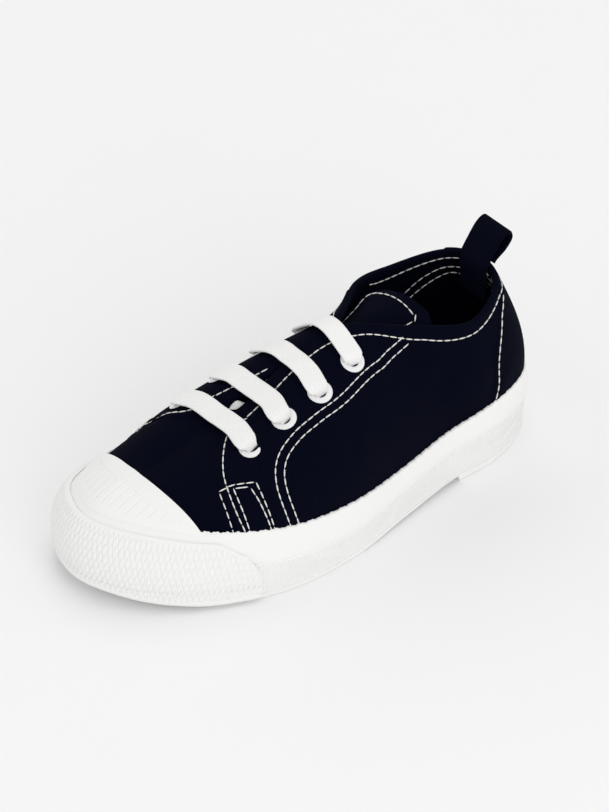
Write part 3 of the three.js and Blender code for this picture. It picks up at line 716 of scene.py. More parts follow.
def onto(piece, line, lift):
    """Lays points, given with normals, on a piece's outer skin by casting rays back along them."""
    points, normals = line
    placed = []
    for point, normal in zip(points, normals):
        start, way = Vector((point + 3.5 * normal - CENTRE) * MM), Vector(-normal)
        hit, where, _, _ = piece.ray_cast(start, way, distance=9.0 * MM)
        if not hit:
            where = piece.closest_point_on_mesh(start)[1]
        placed.append(np.array(where) / MM + CENTRE + normal * lift)
    return np.array(placed), normals


def settle(piece, slot, *nodes):
    """A finished piece rides on the shoe and stands for its CAD nodes; its slot is not used."""
    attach(piece, "root")
    if nodes:
        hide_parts(*nodes)
    return piece


def dress(piece, material):
    """Gives a piece one material."""
    piece.data.materials.clear()
    piece.data.materials.append(material)
    return piece


# ---------------------------------------------------------------- shader groups
def weave_group():
    """A plain weave over a surface measured in metres: thread height, and a shade that is painted shade,
    darker in the gaps between threads and lighter on their crowns, with slow unevenness over it.
    """
    made = Tree("Weave", "ShaderNodeTree")
    tree = made.tree
    made.socket("Vector", "NodeSocketVector")
    made.socket("Threads per Metre", "NodeSocketFloat", default=1800.0)
    made.socket("Unevenness", "NodeSocketFloat", default=0.3)
    for name in ("Height", "Shade"):
        made.socket(name, "NodeSocketFloat", "OUTPUT")
    inputs = made.add("NodeGroupInput").outputs
    scaled = made.add(
        "ShaderNodeVectorMath", {0: inputs["Vector"], "Scale": inputs["Threads per Metre"]}, operation="SCALE"
    ).outputs[0]
    parts = made.add("ShaderNodeSeparateXYZ", {0: scaled}).outputs
    warp = maths(tree, "SINE", maths(tree, "MULTIPLY", parts["X"], math.pi))
    weft = maths(tree, "SINE", maths(tree, "MULTIPLY", parts["Y"], math.pi))
    over = maths(tree, "MULTIPLY_ADD", maths(tree, "MULTIPLY", warp, weft), 0.5, 0.5)
    up = maths(tree, "MULTIPLY", maths(tree, "ABSOLUTE", warp), over)
    across = maths(tree, "MULTIPLY", maths(tree, "ABSOLUTE", weft), maths(tree, "SUBTRACT", 1.0, over))
    height = maths(tree, "ADD", up, across)
    slubs = made.add("ShaderNodeTexNoise", {"Vector": scaled, "Scale": 0.35, "Detail": 3.0}).outputs[0]
    # Painted shade: the shade follows the threads' height, so the weave's gaps are darker; the slubs add slow
    # unevenness of tone.
    shade = maths(tree, "MULTIPLY_ADD", maths(tree, "SUBTRACT", slubs, 0.5), inputs["Unevenness"], height)
    made.add("NodeGroupOutput", {"Height": height, "Shade": shade})
    return tree


def grain_group():
    """Fine mould grain and slow patches for rubber and enamel, on Object coordinates."""
    made = Tree("Grain", "ShaderNodeTree")
    tree = made.tree
    made.socket("Vector", "NodeSocketVector")
    for name, default in (("Grain per Metre", 2600.0), ("Patches per Metre", 35.0)):
        made.socket(name, "NodeSocketFloat", default=default)
    for name in ("Height", "Patch"):
        made.socket(name, "NodeSocketFloat", "OUTPUT")
    inputs = made.add("NodeGroupInput").outputs

    def noise(scale, detail):
        links = {"Vector": inputs["Vector"], "Scale": scale, "Detail": detail}
        return made.add("ShaderNodeTexNoise", links).outputs[0]

    fine = noise(inputs["Grain per Metre"], 2.0)
    patch = noise(inputs["Patches per Metre"], 3.0)
    made.add("NodeGroupOutput", {"Height": fine, "Patch": patch})
    return tree


# ---------------------------------------------------------------- materials
def new_material(name, specular):
    """A new material with its node tree and its shader."""
    material = bpy.data.materials.new(name)
    material.use_nodes = True
    tree = material.node_tree
    shader = tree.nodes["Principled BSDF"]
    shader.inputs["Specular IOR Level"].default_value = specular
    return material, tree, shader


def dimmed(colour, share):
    """A linear colour with its light multiplied and its alpha kept."""
    return tuple(np.array(colour[:3]) * share) + (1.0,)


def bump(tree, shader, height, strength, distance):
    """Fine relief through the shader's normal, with its distance in metres."""
    links = {"Height": height, "Strength": strength, "Distance": distance}
    tree.links.new(add_node(tree, "ShaderNodeBump", links).outputs[0], shader.inputs["Normal"])


def linear(colour):
    """Display values 0 to 1 as the linear colour that a shader reads."""
    value = np.asarray(colour[:3], float)
    low, high = value / 12.92, ((value + 0.055) / 1.055) ** 2.4
    return tuple(np.where(value <= 0.04045, low, high)) + (1.0,)


def mixed(tree, factor, first, second):
    """A colour between two, by a factor."""
    return add_node(tree, "ShaderNodeMix", {0: factor, 6: first, 7: second}, data_type="RGBA").outputs[2]


def ranged(tree, value, low, high, to_low=0.0, to_high=1.0):
    """A value brought from one range into another and clamped to it."""
    links = {"Value": value, "From Min": low, "From Max": high, "To Min": to_low, "To Max": to_high}
    return add_node(tree, "ShaderNodeMapRange", links).outputs[0]


def cloth_material(name, colour, threads, depth, roughness, contrast=0.35, unevenness=0.5):
    """Woven cotton that follows the piece's own cloth map, with threads to the metre and painted shade in the
    weave's gaps.
    """
    found = bpy.data.materials.get(name)
    if found:
        return found
    material, tree, shader = new_material(name, 0.05)
    where = add_node(tree, "ShaderNodeUVMap", uv_map="cloth").outputs[0]
    weave = add_node(tree, "ShaderNodeGroup", node_tree=tree_named("Weave", weave_group))
    tree.links.new(where, weave.inputs["Vector"])
    weave.inputs["Threads per Metre"].default_value = threads
    weave.inputs["Unevenness"].default_value = unevenness
    # Painted shade and light: the dark colour goes where the weave's shade is low, in the gaps between
    # threads, and the light one on the threads' crowns, with slow unevenness of tone.
    dark, light = (dimmed(linear(colour), 1 + way * contrast) for way in (-1, 1))
    shade = ranged(tree, weave.outputs["Shade"], 0.1, 1.0)
    tree.links.new(mixed(tree, shade, dark, light), shader.inputs["Base Color"])
    rough = ranged(tree, weave.outputs["Height"], 0.0, 1.0, min(roughness + 0.08, 1.0), roughness)
    tree.links.new(rough, shader.inputs["Roughness"])
    bump(tree, shader, weave.outputs["Height"], 0.6, depth)
    return material


def rubber_material(name, colour, roughness, shadow=0.03, depth=0.00004):
    """Off-white vulcanised rubber or white enamel with faint patches and mould grain, and painted shade at
    the bottom of its moulded grooves.
    """
    found = bpy.data.materials.get(name)
    if found:
        return found
    material, tree, shader = new_material(name, 0.4)
    where = add_node(tree, "ShaderNodeTexCoord").outputs["Object"]
    grain = add_node(tree, "ShaderNodeGroup", node_tree=tree_named("Grain", grain_group))
    tree.links.new(where, grain.inputs["Vector"])
    base = linear(colour)
    patch = ranged(tree, grain.outputs["Patch"], 0.3, 0.7)
    plain = mixed(tree, patch, dimmed(base, 1 - shadow), base)
    # Painted shade: the colour darkens towards GROOVE_SHADE of itself where the groove mark is deep.
    groove = add_node(tree, "ShaderNodeAttribute", attribute_name="groove").outputs["Fac"]
    shaded = mixed(tree, ranged(tree, groove, 0.35, 1.0), plain, dimmed(base, GROOVE_SHADE))
    tree.links.new(shaded, shader.inputs["Base Color"])
    rough = ranged(tree, grain.outputs["Patch"], 0.3, 0.7, roughness + 0.05, roughness - 0.05)
    tree.links.new(rough, shader.inputs["Roughness"])
    bump(tree, shader, grain.outputs["Height"], 0.3, depth)
    return material


def thread_material(name, colour, twist):
    """Twisted cotton thread, its plies drawn by a slanted wave, with painted shade between the plies."""
    found = bpy.data.materials.get(name)
    if found:
        return found
    material, tree, shader = new_material(name, 0.3)
    where = add_node(tree, "ShaderNodeTexCoord").outputs["Object"]
    wave = add_node(tree, "ShaderNodeTexWave", {"Vector": where, "Scale": twist, "Distortion": 1.5})
    wave.bands_direction = "DIAGONAL"
    base = linear(colour)
    # Painted shade: the colour drops to 0.82 of itself where the wave is low, between the plies.
    tree.links.new(mixed(tree, wave.outputs["Fac"], dimmed(base, 0.82), base), shader.inputs["Base Color"])
    bump(tree, shader, wave.outputs["Fac"], 0.4, 0.0001)
    shader.inputs["Roughness"].default_value = 0.8
    return material


def canvas():
    """Navy cotton canvas of the upper and the tongue."""
    colours = bpy.context.scene.sneaker_colours
    return cloth_material("canvas_navy", colours.canvas, 1900.0, 0.00012, 0.92)


def lining():
    """Finer navy cotton of the insole."""
    colours = bpy.context.scene.sneaker_colours
    return cloth_material("lining_navy", colours.lining, 2300.0, 0.00008, 0.92)


def rubber(part):
    """Off-white rubber, a material for each rubber piece."""
    colours = bpy.context.scene.sneaker_colours
    return rubber_material(f"{part}_rubber", colours.rubber, 0.5)


def thread():
    """Off-white sewing thread."""
    colours = bpy.context.scene.sneaker_colours
    return thread_material("seam_thread", colours.thread, 900.0)


# ---------------------------------------------------------------- sizes and colours
def length(name, description, default):
    """A length property: default in millimetres, kept in metres."""
    shown = {"unit": "LENGTH", "precision": 5}
    return FloatProperty(name=name, description=description, default=default * MM, **shown)


def colour(name, description, default):
    """A colour property from display values 0 to 1."""
    shown = {"subtype": "COLOR", "size": 3, "min": 0, "max": 1}
    return FloatVectorProperty(name=name, description=description, default=default, **shown)


def display(red, green, blue):
    """A display colour from levels of 0 to 255."""
    return (red / 255, green / 255, blue / 255)


class SneakerColours(bpy.types.PropertyGroup):
    """Colours as they show on a display."""
    canvas: colour("Canvas", "Cotton of the upper", display(3, 5, 20))
    lining: colour("Lining", "Cotton drill inside the shoe", display(12, 16, 40))
    rubber: colour("Rubber", "Foxing, toe cap, bumper and outsole", display(231, 231, 231))
    thread: colour("Thread", "Contrast stitching", display(238, 237, 232))
    lace: colour("Lace", "Flat cotton lace", display(237, 237, 236))
    enamel: colour("Enamel", "Paint of the eyelets", display(236, 236, 236))
    floor: colour("Floor", "The pale floor", display(248, 248, 248))


class SneakerUpper(bpy.types.PropertyGroup):
    """Sizes of the canvas upper."""
    wall: length("Wall", "Canvas and lining together", 1.6)
    panel: length("Panel rise", "How far one canvas panel stands over the next", 0.55)
    seam_dip: length("Seam dip", "How deep a row of stitches pulls the canvas in", 0.16)
    seam_gap: length("Twin seam gap", "Between the two rows of the side seam", 3.1)
    crease: length("Crease depth", "Depth of the main creases", 0.9)


class SneakerStitches(bpy.types.PropertyGroup):
    """Sizes of the stitches."""
    pitch: length("Pitch", "From one stitch to the next", 2.9)
    length: length("Length", "Of one stitch", 2.95)
    thickness: length("Thickness", "Of the thread", 0.52)
    seed: IntProperty(name="Seed", description="Picks the small differences of the stitches", default=5)


class SneakerRubber(bpy.types.PropertyGroup):
    """Sizes of the moulded patterns."""
    rib_pitch: length("Rib pitch", "From rib to rib along the foxing", 1.78)
    rib_depth: length("Rib depth", "Of the foxing's ribs", 0.45)
    knurl_width: length("Diamond width", "Of the bumper's knurl", 2.05)
    knurl_depth: length("Knurl depth", "Of the grooves between the diamonds", 0.42)
    cap_pitch: length("Cap groove pitch", "Between the toe cap's grooves", 3.1)
    cap_depth: length("Cap groove depth", "Of the toe cap's grooves", 0.3)
    tread_pitch: length("Tread pitch", "From groove to groove of the tread", 6.0)
    tread_depth: length("Tread depth", "Of the tread's grooves", 0.9)


class SneakerLace(bpy.types.PropertyGroup):
    """Sizes of the lace, the eyelets and the pull loop."""
    width: length("Lace width", "Of the flat lace", 8.2)
    thickness: length("Lace thickness", "Of the flat lace", 1.5)
    ribs: IntProperty(name="Lace ribs", description="Lengthwise ribs of the lace's weave", default=9)
    flange: length("Eyelet flange", "Outer radius of an eyelet", 4.4)
    bore: length("Eyelet bore", "Radius of an eyelet's opening", 2.2)
    loop_width: length("Loop width", "Of the heel pull loop's tape", 14.5)
    loop_thickness: length("Loop thickness", "Of the heel pull loop's tape", 1.3)


class SneakerStage(bpy.types.PropertyGroup):
    """The camera and the studio."""
    azimuth: FloatProperty(name="Azimuth", description="Of the camera, degrees from the toe", default=52.02)
    elevation: FloatProperty(name="Elevation", description="Of the camera, degrees", default=36.33)
    distance: FloatProperty(name="Distance", description="Of the camera", default=1.5, unit="LENGTH")
    lens: FloatProperty(name="Lens", description="Focal length in millimetres", default=192.0)


GROUPS = {
    "sneaker_colours": SneakerColours, "sneaker_upper": SneakerUpper, "sneaker_stitches": SneakerStitches,
    "sneaker_rubber": SneakerRubber, "sneaker_lace": SneakerLace, "sneaker_stage": SneakerStage,
}


# ---------------------------------------------------------------- the upper
# Creases as lines of station (negative on the medial side) and inset, with depth and width.
CREASES = table(
    ["start", "start_inset", "end", "end_inset", "depth", "width"],
    {
        "vamp_medial": [-3.15, 33.0, -3.75, 14.0, 0.9, 2.6],
        "vamp_ridge": [3.45, 2.0, 2.85, 26.0, 0.35, 3.0],
        "ball_lateral": [3.95, 33.0, 3.55, 46.0, 0.35, 2.6],
        "quarter_front": [5.3, 30.0, 5.1, 46.0, 0.45, 3.2],
        "quarter_rear": [7.5, 12.0, 6.9, 30.0, 0.5, 3.6],
        "heel_lateral": [8.5, 20.0, 7.9, 30.0, 0.35, 2.6],
        "quarter_medial": [-5.6, 22.0, -5.2, 40.0, 0.5, 3.2],
        "collar_medial": [-7.6, 10.0, -7.0, 27.0, 0.5, 3.4],
        "heel_medial": [-8.6, 18.0, -8.0, 30.0, 0.35, 2.6],
    },
)


def stations_round(count):
    """Stations round the shoe, the same on both sides, closer together at the throat's start."""
    spread = np.linspace(0, END, count // 2 + 1)
    throat = THROAT_START + THROAT_TAPER * np.linspace(0, 1, 9) ** 2
    kept = spread[np.abs(spread[:, None] - throat[None, :]).min(1) > 0.008]
    half = np.unique(np.concatenate([kept, throat]))
    return np.concatenate([half, LAP - half[1:-1][::-1]])


def nearest(points, line):
    """For each point the distance to the nearest point of a line, and that point's number."""
    tree = KDTree(len(line))
    for number, place in enumerate(line):
        tree.insert(place, number)
    tree.balance()
    found = [tree.find(place) for place in points.reshape(-1, 3)]
    distance = np.array([f[2] for f in found]).reshape(points.shape[:-1])
    number = np.array([f[1] for f in found]).reshape(points.shape[:-1])
    return distance, number


def behind(t, inset, rows):
    """1 where a place lies on the heel side of a seam, and -1 on its toe side."""
    rows = np.array(rows, float)
    order = np.argsort(rows[:, 1])
    at_seam = np.interp(inset, rows[order, 1], rows[order, 0])
    return np.where(t > at_seam, 1.0, -1.0)


def both_sides(rows):
    """Points of a seam on the lateral and on the medial side."""
    return np.concatenate([seam_points(rows, 0.0, side)[0] for side in (1, -1)])


def seams_of(side):
    """The seams of one side by name."""
    return SEAMS if side > 0 else {**SEAMS, **MEDIAL_SEAMS}


def facing_front(side):
    """The facing's seam as far as it lies on the closed vamp."""
    rows = np.array(seams_of(side)["throat_edge"])
    return rows[rows[:, 0] < 3.95]


def panel_relief(w, points, t, inset, sizes):
    """How far the canvas stands off the last: panels lie over each other and seams pull it in."""
    rise = sizes.panel / MM
    edges = [seam_points(facing_front(side), 0.0, side)[0] for side in (1, -1)]
    to_edge, _ = nearest(points, np.concatenate(edges))
    lateral, medial = (behind(t, inset, facing_front(side)) for side in (1, -1))
    quarter = smoothstep(to_edge * np.where(is_lateral(w)[:, None], lateral, medial), -2.5, -1.7)
    quarter = np.where(t > THROAT_START + THROAT_TAPER, 1.0, quarter)
    to_side, _ = nearest(points, both_sides(SEAMS["side_seam"]))
    hem = sizes.seam_gap / MM + 1.2
    facing = smoothstep(-to_side * behind(t, inset, SEAMS["side_seam"]), -hem - 0.35, -hem + 0.35)
    to_back, _ = nearest(points, both_sides(SEAMS["backstay"]))
    backstay = smoothstep(to_back * behind(t, inset, SEAMS["backstay"]), -1.7, -1.0)
    return rise * (quarter + 0.7 * facing * quarter + backstay)


def patch_relief(points, t, inset):
    """The reinforcement over the ball of the foot."""
    rise, margin = 0.4, 1.3
    outline = np.concatenate([both_sides(PATCH[name]) for name in ("front", "top", "rear")])
    distance, _ = nearest(points, outline)
    top = np.array(PATCH["top"])
    after_front = behind(t, inset, PATCH["front"]) > 0
    before_rear = behind(t, inset, PATCH["rear"]) < 0
    below_top = inset > np.interp(t, top[:, 0], top[:, 1])
    signed = np.where(after_front & before_rear & below_top, distance, -distance)
    return rise * smoothstep(signed, -margin - 0.35, -margin + 0.35)


def crease_relief(points, depth_share):
    """Soft troughs, each with a low ridge on both sides."""
    total = np.zeros(points.shape[:-1])
    for start, start_inset, end, end_inset, depth, width in zip(*CREASES.values()):
        side = 1 if start > 0 else -1
        middle = (abs(start + end) / 2, (start_inset + end_inset) / 2)
        rows = [(abs(start), start_inset), middle, (abs(end), end_inset)]
        line = seam_points(rows, 0, side)[0]
        distance, number = nearest(points, line)
        taper = np.sin(np.pi * np.clip(number / (len(line) - 1), 0.02, 0.98)) ** 0.8
        trough = np.exp(-((distance / width) ** 2))
        ridge = np.exp(-(((distance - 2.1 * width) / width) ** 2))
        total += depth_share * depth * taper * (0.45 * ridge - trough)
    return total


def upper_grid(sizes):
    """Stations and both skins of the upper with its rim between them, and the rows of skin and rim."""
    w = stations_round(500)
    outer_f = np.linspace(1, 0, 112)
    inner_f = np.linspace(0, 1, 44)
    t = np.broadcast_to(station(w)[:, None], (len(w), len(outer_f)))
    around = girth(w)[:, None]
    outer = last_point(w, outer_f)
    inset = around * (1 - outer_f)
    relief = panel_relief(w, outer, t, inset, sizes) + patch_relief(outer, t, inset)
    relief += crease_relief(outer, sizes.crease / MM / 0.9)
    distance, _ = nearest(outer, np.concatenate([line for line, _ in outer_seams(sizes)]))
    relief -= sizes.seam_dip / MM * np.exp(-((distance / 0.75) ** 2))
    outer = outer + last_normal(w, outer_f) * relief[..., None]
    inner = proud(w, inner_f, np.full((len(w), len(inner_f)), -sizes.wall / MM))
    rim = rounded(inner[:, -1], outer[:, 0], outer[:, 0] - outer[:, 1], 5)
    return w, np.concatenate([inner, rim, outer], 1), len(inner_f), rim.shape[1]


def outer_seams(sizes):
    """All seams on the outside of the upper as lines and normals."""
    made = twin_lines(sizes)
    for side in (1, -1):
        for rows in (*seams_of(side).values(), *PATCH.values()):
            made.append(seam_points(rows, 0.0, side))
    return made


def twin_lines(sizes):
    """The side seam's second row, behind the first by the seam gap, as lines and normals."""
    made = []
    for side in (1, -1):
        line, normals = seam_points(SEAMS["side_seam"], 0.0, side)
        along = unit(np.gradient(line, axis=0))
        back = np.cross(along, normals) * side
        made.append((line + back * sizes.seam_gap / MM, normals))
    return made


def make_upper(sizes):
    """The upper as one closed skin. Over the toes, where the sections close, it has no rim."""
    w, rings, inner_rows, rim_rows = upper_grid(sizes)
    count, size = rings.shape[:2]
    corners, places = grid_faces(count, size, True, True)
    i, j = (place.reshape(-1) for place in places[0])
    closed = is_closed(w)
    in_rim = (j >= inner_rows - 1) & (j < inner_rows + rim_rows)
    kept = ~(in_rim & closed[i] & closed[(i + 1) % count])
    uv = cloth_map(w, rings, inner_rows + rim_rows)
    uvs = np.stack([uv[a, b] for a, b in places], 2).reshape(-1, 4, 2)[kept]
    mesh = bpy.data.meshes.new("upper_canvas")
    mesh.from_pydata(((rings.reshape(-1, 3) - CENTRE) * MM).tolist(), [], corners[kept].tolist())
    layer = mesh.uv_layers.new(name="cloth")
    layer.data.foreach_set("uv", (uvs * MM).astype(np.float32).ravel())
    piece = finish_mesh(mesh, "upper_canvas", 60.0)
    punch_eyelets(piece)
    return piece


def cloth_map(w, rings, outer_start):
    """Lengthwise and downward distances over both skins, so that the weave keeps its scale."""
    t = station(w)
    lengthwise = rings[..., 1].copy()
    steps = np.linalg.norm(np.diff(np.concatenate([rings, rings[:1]]), axis=0), axis=-1)
    turn = 8.0
    first = int(np.argmin(np.abs(w - turn)))
    last = int(np.argmin(np.abs(w - (LAP - turn))))
    middle = int(np.argmin(np.abs(w - END)))
    for k in range(first + 1, middle + 1):
        lengthwise[k] = lengthwise[k - 1] + steps[k - 1]
    for k in range(last - 1, middle, -1):
        lengthwise[k] = lengthwise[k + 1] + steps[k]
    fall = np.linalg.norm(np.diff(rings, axis=1), axis=-1)
    down = np.concatenate([np.zeros((len(t), 1)), np.cumsum(fall, 1)], 1)
    down = down - down[:, outer_start : outer_start + 1]
    uv = np.stack([lengthwise, down], -1)
    uv = np.concatenate([uv, uv[:, -1:]], 1)
    return np.concatenate([uv, uv[:1]], 0)


def eyelet_places():
    """Each eyelet's name, centre on the last and outward normal."""
    for side, name in ((1, "lateral"), (-1, "medial")):
        for row, label in enumerate(("first", "second", "third", "fourth")):
            t = EYELETS["station"][row]
            w = np.array([t if side > 0 else LAP - t])
            f = (1 - EYELETS[f"{name}_inset"][row] / girth(w))[:, None]
            yield f"{name}_{label}", last_point(w, f)[0, 0], last_normal(w, f)[0, 0]


def facing_matrix(centre, normal):
    """A place on the last, turned so that +Z is its normal."""
    turn = Vector(normal).to_track_quat("Z", "Y").to_matrix().to_4x4()
    return Matrix.Translation(Vector((centre - CENTRE) * MM)) @ turn


def punch_eyelets(piece):
    """Holes through canvas and lining for the eyelets' barrels."""
    hole = {"radius1": 3.0 * MM, "radius2": 3.0 * MM, "depth": 9.0 * MM, "segments": 20, "cap_ends": True}
    cutter = bmesh.new()
    for _, centre, normal in eyelet_places():
        bmesh.ops.create_cone(cutter, matrix=facing_matrix(centre, normal), **hole)
    mesh = bpy.data.meshes.new("punch")
    cutter.to_mesh(mesh)
    cutter.free()
    punch = bpy.data.objects.new("punch", mesh)
    bpy.context.scene.collection.objects.link(punch)
    modifier = piece.modifiers.new("punch", "BOOLEAN")
    modifier.object = punch
    modifier.operation = "DIFFERENCE"
    modifier.solver = "MANIFOLD"
    evaluated = piece.evaluated_get(bpy.context.evaluated_depsgraph_get())
    made = bpy.data.meshes.new_from_object(evaluated)
    piece.modifiers.remove(modifier)
    piece.data = made
    bpy.data.objects.remove(punch)


class SNEAKER_OT_upper(bpy.types.Operator):
    """Build the canvas upper with its panels, creases and eyelet holes"""
    bl_idname = "sneaker.upper"
    bl_label = "Upper"

    def execute(self, context):
        piece = make_upper(context.scene.sneaker_upper)
        dress(piece, canvas())
        settle(piece, "canvas", "upper")
        return {"FINISHED"}


class SNEAKER_OT_seams(bpy.types.Operator):
    """Sew the upper's seams, the reinforcement and the lining's seams"""
    bl_idname = "sneaker.seams"
    bl_label = "Seams"

    def execute(self, context):
        stitches = context.scene.sneaker_stitches
        sizes = context.scene.sneaker_upper
        upper = bpy.data.objects["upper_canvas"]
        lines = [onto(upper, line, 0.08) for line in outer_seams(sizes)]
        sew("seam_stitches", lines, "canvas", stitches, thread())
        inside = [lining_line(rows, side, sizes) for rows in LINING_SEAMS.values() for side in (1, -1)]
        inside += [heel_tape_row(inset, sizes) for inset in HEEL_TAPE_ROWS]
        sew("lining_stitches", inside, "canvas", stitches, thread())
        return {"FINISHED"}


def lining_line(rows, side, sizes):
    """A seam on the lining, with normals that point into the shoe."""
    line, normals = seam_points(rows, -sizes.wall / MM - 0.05, side)
    return line, -normals


def heel_tape_row(inset, sizes):
    """A row of stitches across the tape inside the heel."""
    w = np.linspace(9.5, 10.55, 22)
    f = (1 - inset / girth(w))[:, None]
    normals = last_normal(w, f)[:, 0]
    points = last_point(w, f)[:, 0] - normals * (sizes.wall / MM + 0.75)
    return resample(points, -normals, 0.5)


# ---------------------------------------------------------------- rubber
def pad_marks(values, rings):
    """Marks of the front rows, with zeros for the rest of each ring."""
    full = np.zeros(rings.shape[:2])
    full[:, : values.shape[1]] = values
    return full


def rib_marks(rings, along, up, field):
    """What the ribs' tree reads: places along and up the front rows, and where there are grooves."""
    return {
        "along": pad_marks(along * MM, rings), "up": pad_marks(up * MM, rings),
        "field": pad_marks(field, rings),
    }


def mould(piece, part, pitch, depth, slant, groove, crossed):
    """Moulds grooves into a rubber piece: how far apart, how deep, how slanted, wide and crossed."""
    values = {
        "Pitch": pitch, "Depth": depth, "Slant": slant, "Groove": groove, "Crossed": crossed,
        "Material": rubber(part),
    }
    return apply_tree(piece, tree_named("Moulded Ribs", moulded_ribs_tree), values)


def foxing_heights(w, rows):
    """Heights of the foxing's rows, close together at the line between its two bands."""
    low, high, line = (column(SOLE, name, w)[:, None] for name in ("edge", "foxing_top", "band_line"))
    trim = 0.16 * (np.sin(37 * w) + 0.7 * np.sin(83 * w + 1))[:, None]
    row = np.linspace(0, 1, rows)[None, :]
    below = low + (line - 0.8 - low) * row / 0.4
    near = line - 0.8 + 1.6 * (row - 0.4) / 0.28
    above = line + 0.8 + (high + trim - line - 0.8) * (row - 0.68) / 0.32
    return np.where(row < 0.4, below, np.where(row < 0.68, near, above))


def make_foxing(sizes):
    """The foxing all round the shoe: a ribbed band below a line, a smooth one above it."""
    w = np.linspace(0, LAP, 2250, endpoint=False)
    heights = foxing_heights(w, 30)
    low, high = column(SOLE, "edge", w)[:, None], column(SOLE, "foxing_top", w)[:, None]
    line = column(SOLE, "band_line", w)[:, None]
    seam = 0.6 * np.exp(-(((heights - line) / 0.32) ** 2))
    lower = 0.15 * (1 - smoothstep(heights, line - 0.3, line + 0.3))
    off = foxing_proud(w, (heights - low) / (high - low)) - seam + lower
    front = wall_point(w, heights, off)
    back = wall_point(w, heights[:, ::-9], 0.45)
    top = rounded(front[:, -1], back[:, 0], front[:, -1] - front[:, -2], 4)
    bottom = rounded(back[:, -1], front[:, 0], front[:, 0] - front[:, 1], 2)
    rings = np.concatenate([front, top, back, bottom], 1)
    along = np.broadcast_to(lengths_along(rings[:, 12])[:, None], heights.shape)
    field = smoothstep(heights, low + 0.5, low + 1.1) * (1 - smoothstep(heights, line - 0.7, line - 0.3))
    marks = rib_marks(rings, along, heights, field)
    piece = loft("foxing_rubber", rings, measured(rings, True), True, marks, 50.0)
    return mould(piece, "foxing", sizes.rib_pitch, sizes.rib_depth, slant=0.87, groove=0.55, crossed=0.45)


class SNEAKER_OT_foxing(bpy.types.Operator):
    """Build the rubber band round the shoe, smooth above and finely ribbed below"""
    bl_idname = "sneaker.foxing"
    bl_label = "Foxing"

    def execute(self, context):
        settle(make_foxing(context.scene.sneaker_rubber), "foxing_rubber", "foxing")
        return {"FINISHED"}


def make_bumper(sizes):
    """The knurled strip over the foxing at the toe, lower and slanted at its two ends."""
    reach = BUMPER_REACH
    run = np.linspace(-reach, reach, 860)
    shares = np.linspace(0, 1, 90)
    t = np.minimum(np.abs(run)[:, None], reach - BUMPER["slant"] * shares[None, :] ** 4)
    grid_w = np.where(run[:, None] < 0, -t, t)
    low = column(SOLE, "edge", grid_w)
    full = column(SOLE, "foxing_top", grid_w) - low
    lowered = 1 - BUMPER["drop"] * smoothstep(t, BUMPER["drop_start"], BUMPER["drop_end"])
    part = shares[None, :] * lowered * BUMPER["top_share"]
    heights = low + full * part
    back_base = np.empty(heights.shape + (3,))
    front = np.empty_like(back_base)
    for k in range(len(shares)):
        band = foxing_proud(grid_w[:, k], part[:, k : k + 1])[:, 0]
        off = band + BUMPER["gap"]
        back_base[:, k] = wall_point(grid_w[:, k], heights[:, k : k + 1], band[:, None] + 0.05)[:, 0]
        soft_end = smoothstep(reach - np.abs(run), 0.0, 0.03) * 0.6 + 0.4
        soft_top = 1 - 0.35 * smoothstep(shares[k], 0.965, 1.0)
        front[:, k] = wall_point(
            grid_w[:, k], heights[:, k : k + 1], (off + BUMPER["thickness"] * soft_end * soft_top)[:, None]
        )[:, 0]
    back = back_base[:, ::-15]
    top = rounded(front[:, -1], back[:, 0], front[:, -1] - front[:, -2], 3)
    bottom = rounded(back[:, -1], front[:, 0], front[:, 0] - front[:, 1], 3)
    rings = np.concatenate([front, top, back, bottom], 1)
    along = lengths_along(rings[:, 30])
    to_top, plain_top = heights[:, -1:] - heights, BUMPER["plain_top"]
    to_end = np.minimum(along, along[-1] - along)[:, None]
    field = smoothstep(heights, low + 0.6, low + BUMPER["plain_foot"])
    field = field * smoothstep(to_top, plain_top - 0.2, plain_top + 0.3)
    field = field * smoothstep(to_end, 0.9, 1.6)
    marks = rib_marks(rings, along[:, None] - KNURL_LEAN * heights, heights, field)
    piece = loft("toe_bumper_rubber", rings, measured(rings), False, marks, 50.0)
    return mould(piece, "bumper", sizes.knurl_width, sizes.knurl_depth, slant=0.375, groove=0.5, crossed=1.0)


class SNEAKER_OT_bumper(bpy.types.Operator):
    """Build the knurled toe bumper"""
    bl_idname = "sneaker.bumper"
    bl_label = "Toe bumper"

    def execute(self, context):
        settle(make_bumper(context.scene.sneaker_rubber), "bumper_rubber", "toe_bumper")
        return {"FINISHED"}


def cap_edge_y(x):
    """The cap's rear edge over the toes, a shallow arc."""
    return CAP_EDGE["y"] + CAP_EDGE["bend"] * (x - CAP_EDGE["x"]) ** 2


def band_arc(x, width, middle, bend_before, bend_after):
    """One arc of the cap's smooth band, bent differently before and after its middle."""
    return width - np.where(x < middle, bend_before, bend_after) * (x - middle) ** 2


def smooth_band(x):
    """How far the cap's smooth band reaches forward of its rear edge: two arcs with a cusp."""
    medial, lateral = (band_arc(x, **CAP_BAND[side]) for side in ("medial", "lateral"))
    narrowest = 0.3
    return np.maximum(np.where(x < CAP["cusp"], medial, lateral), narrowest)


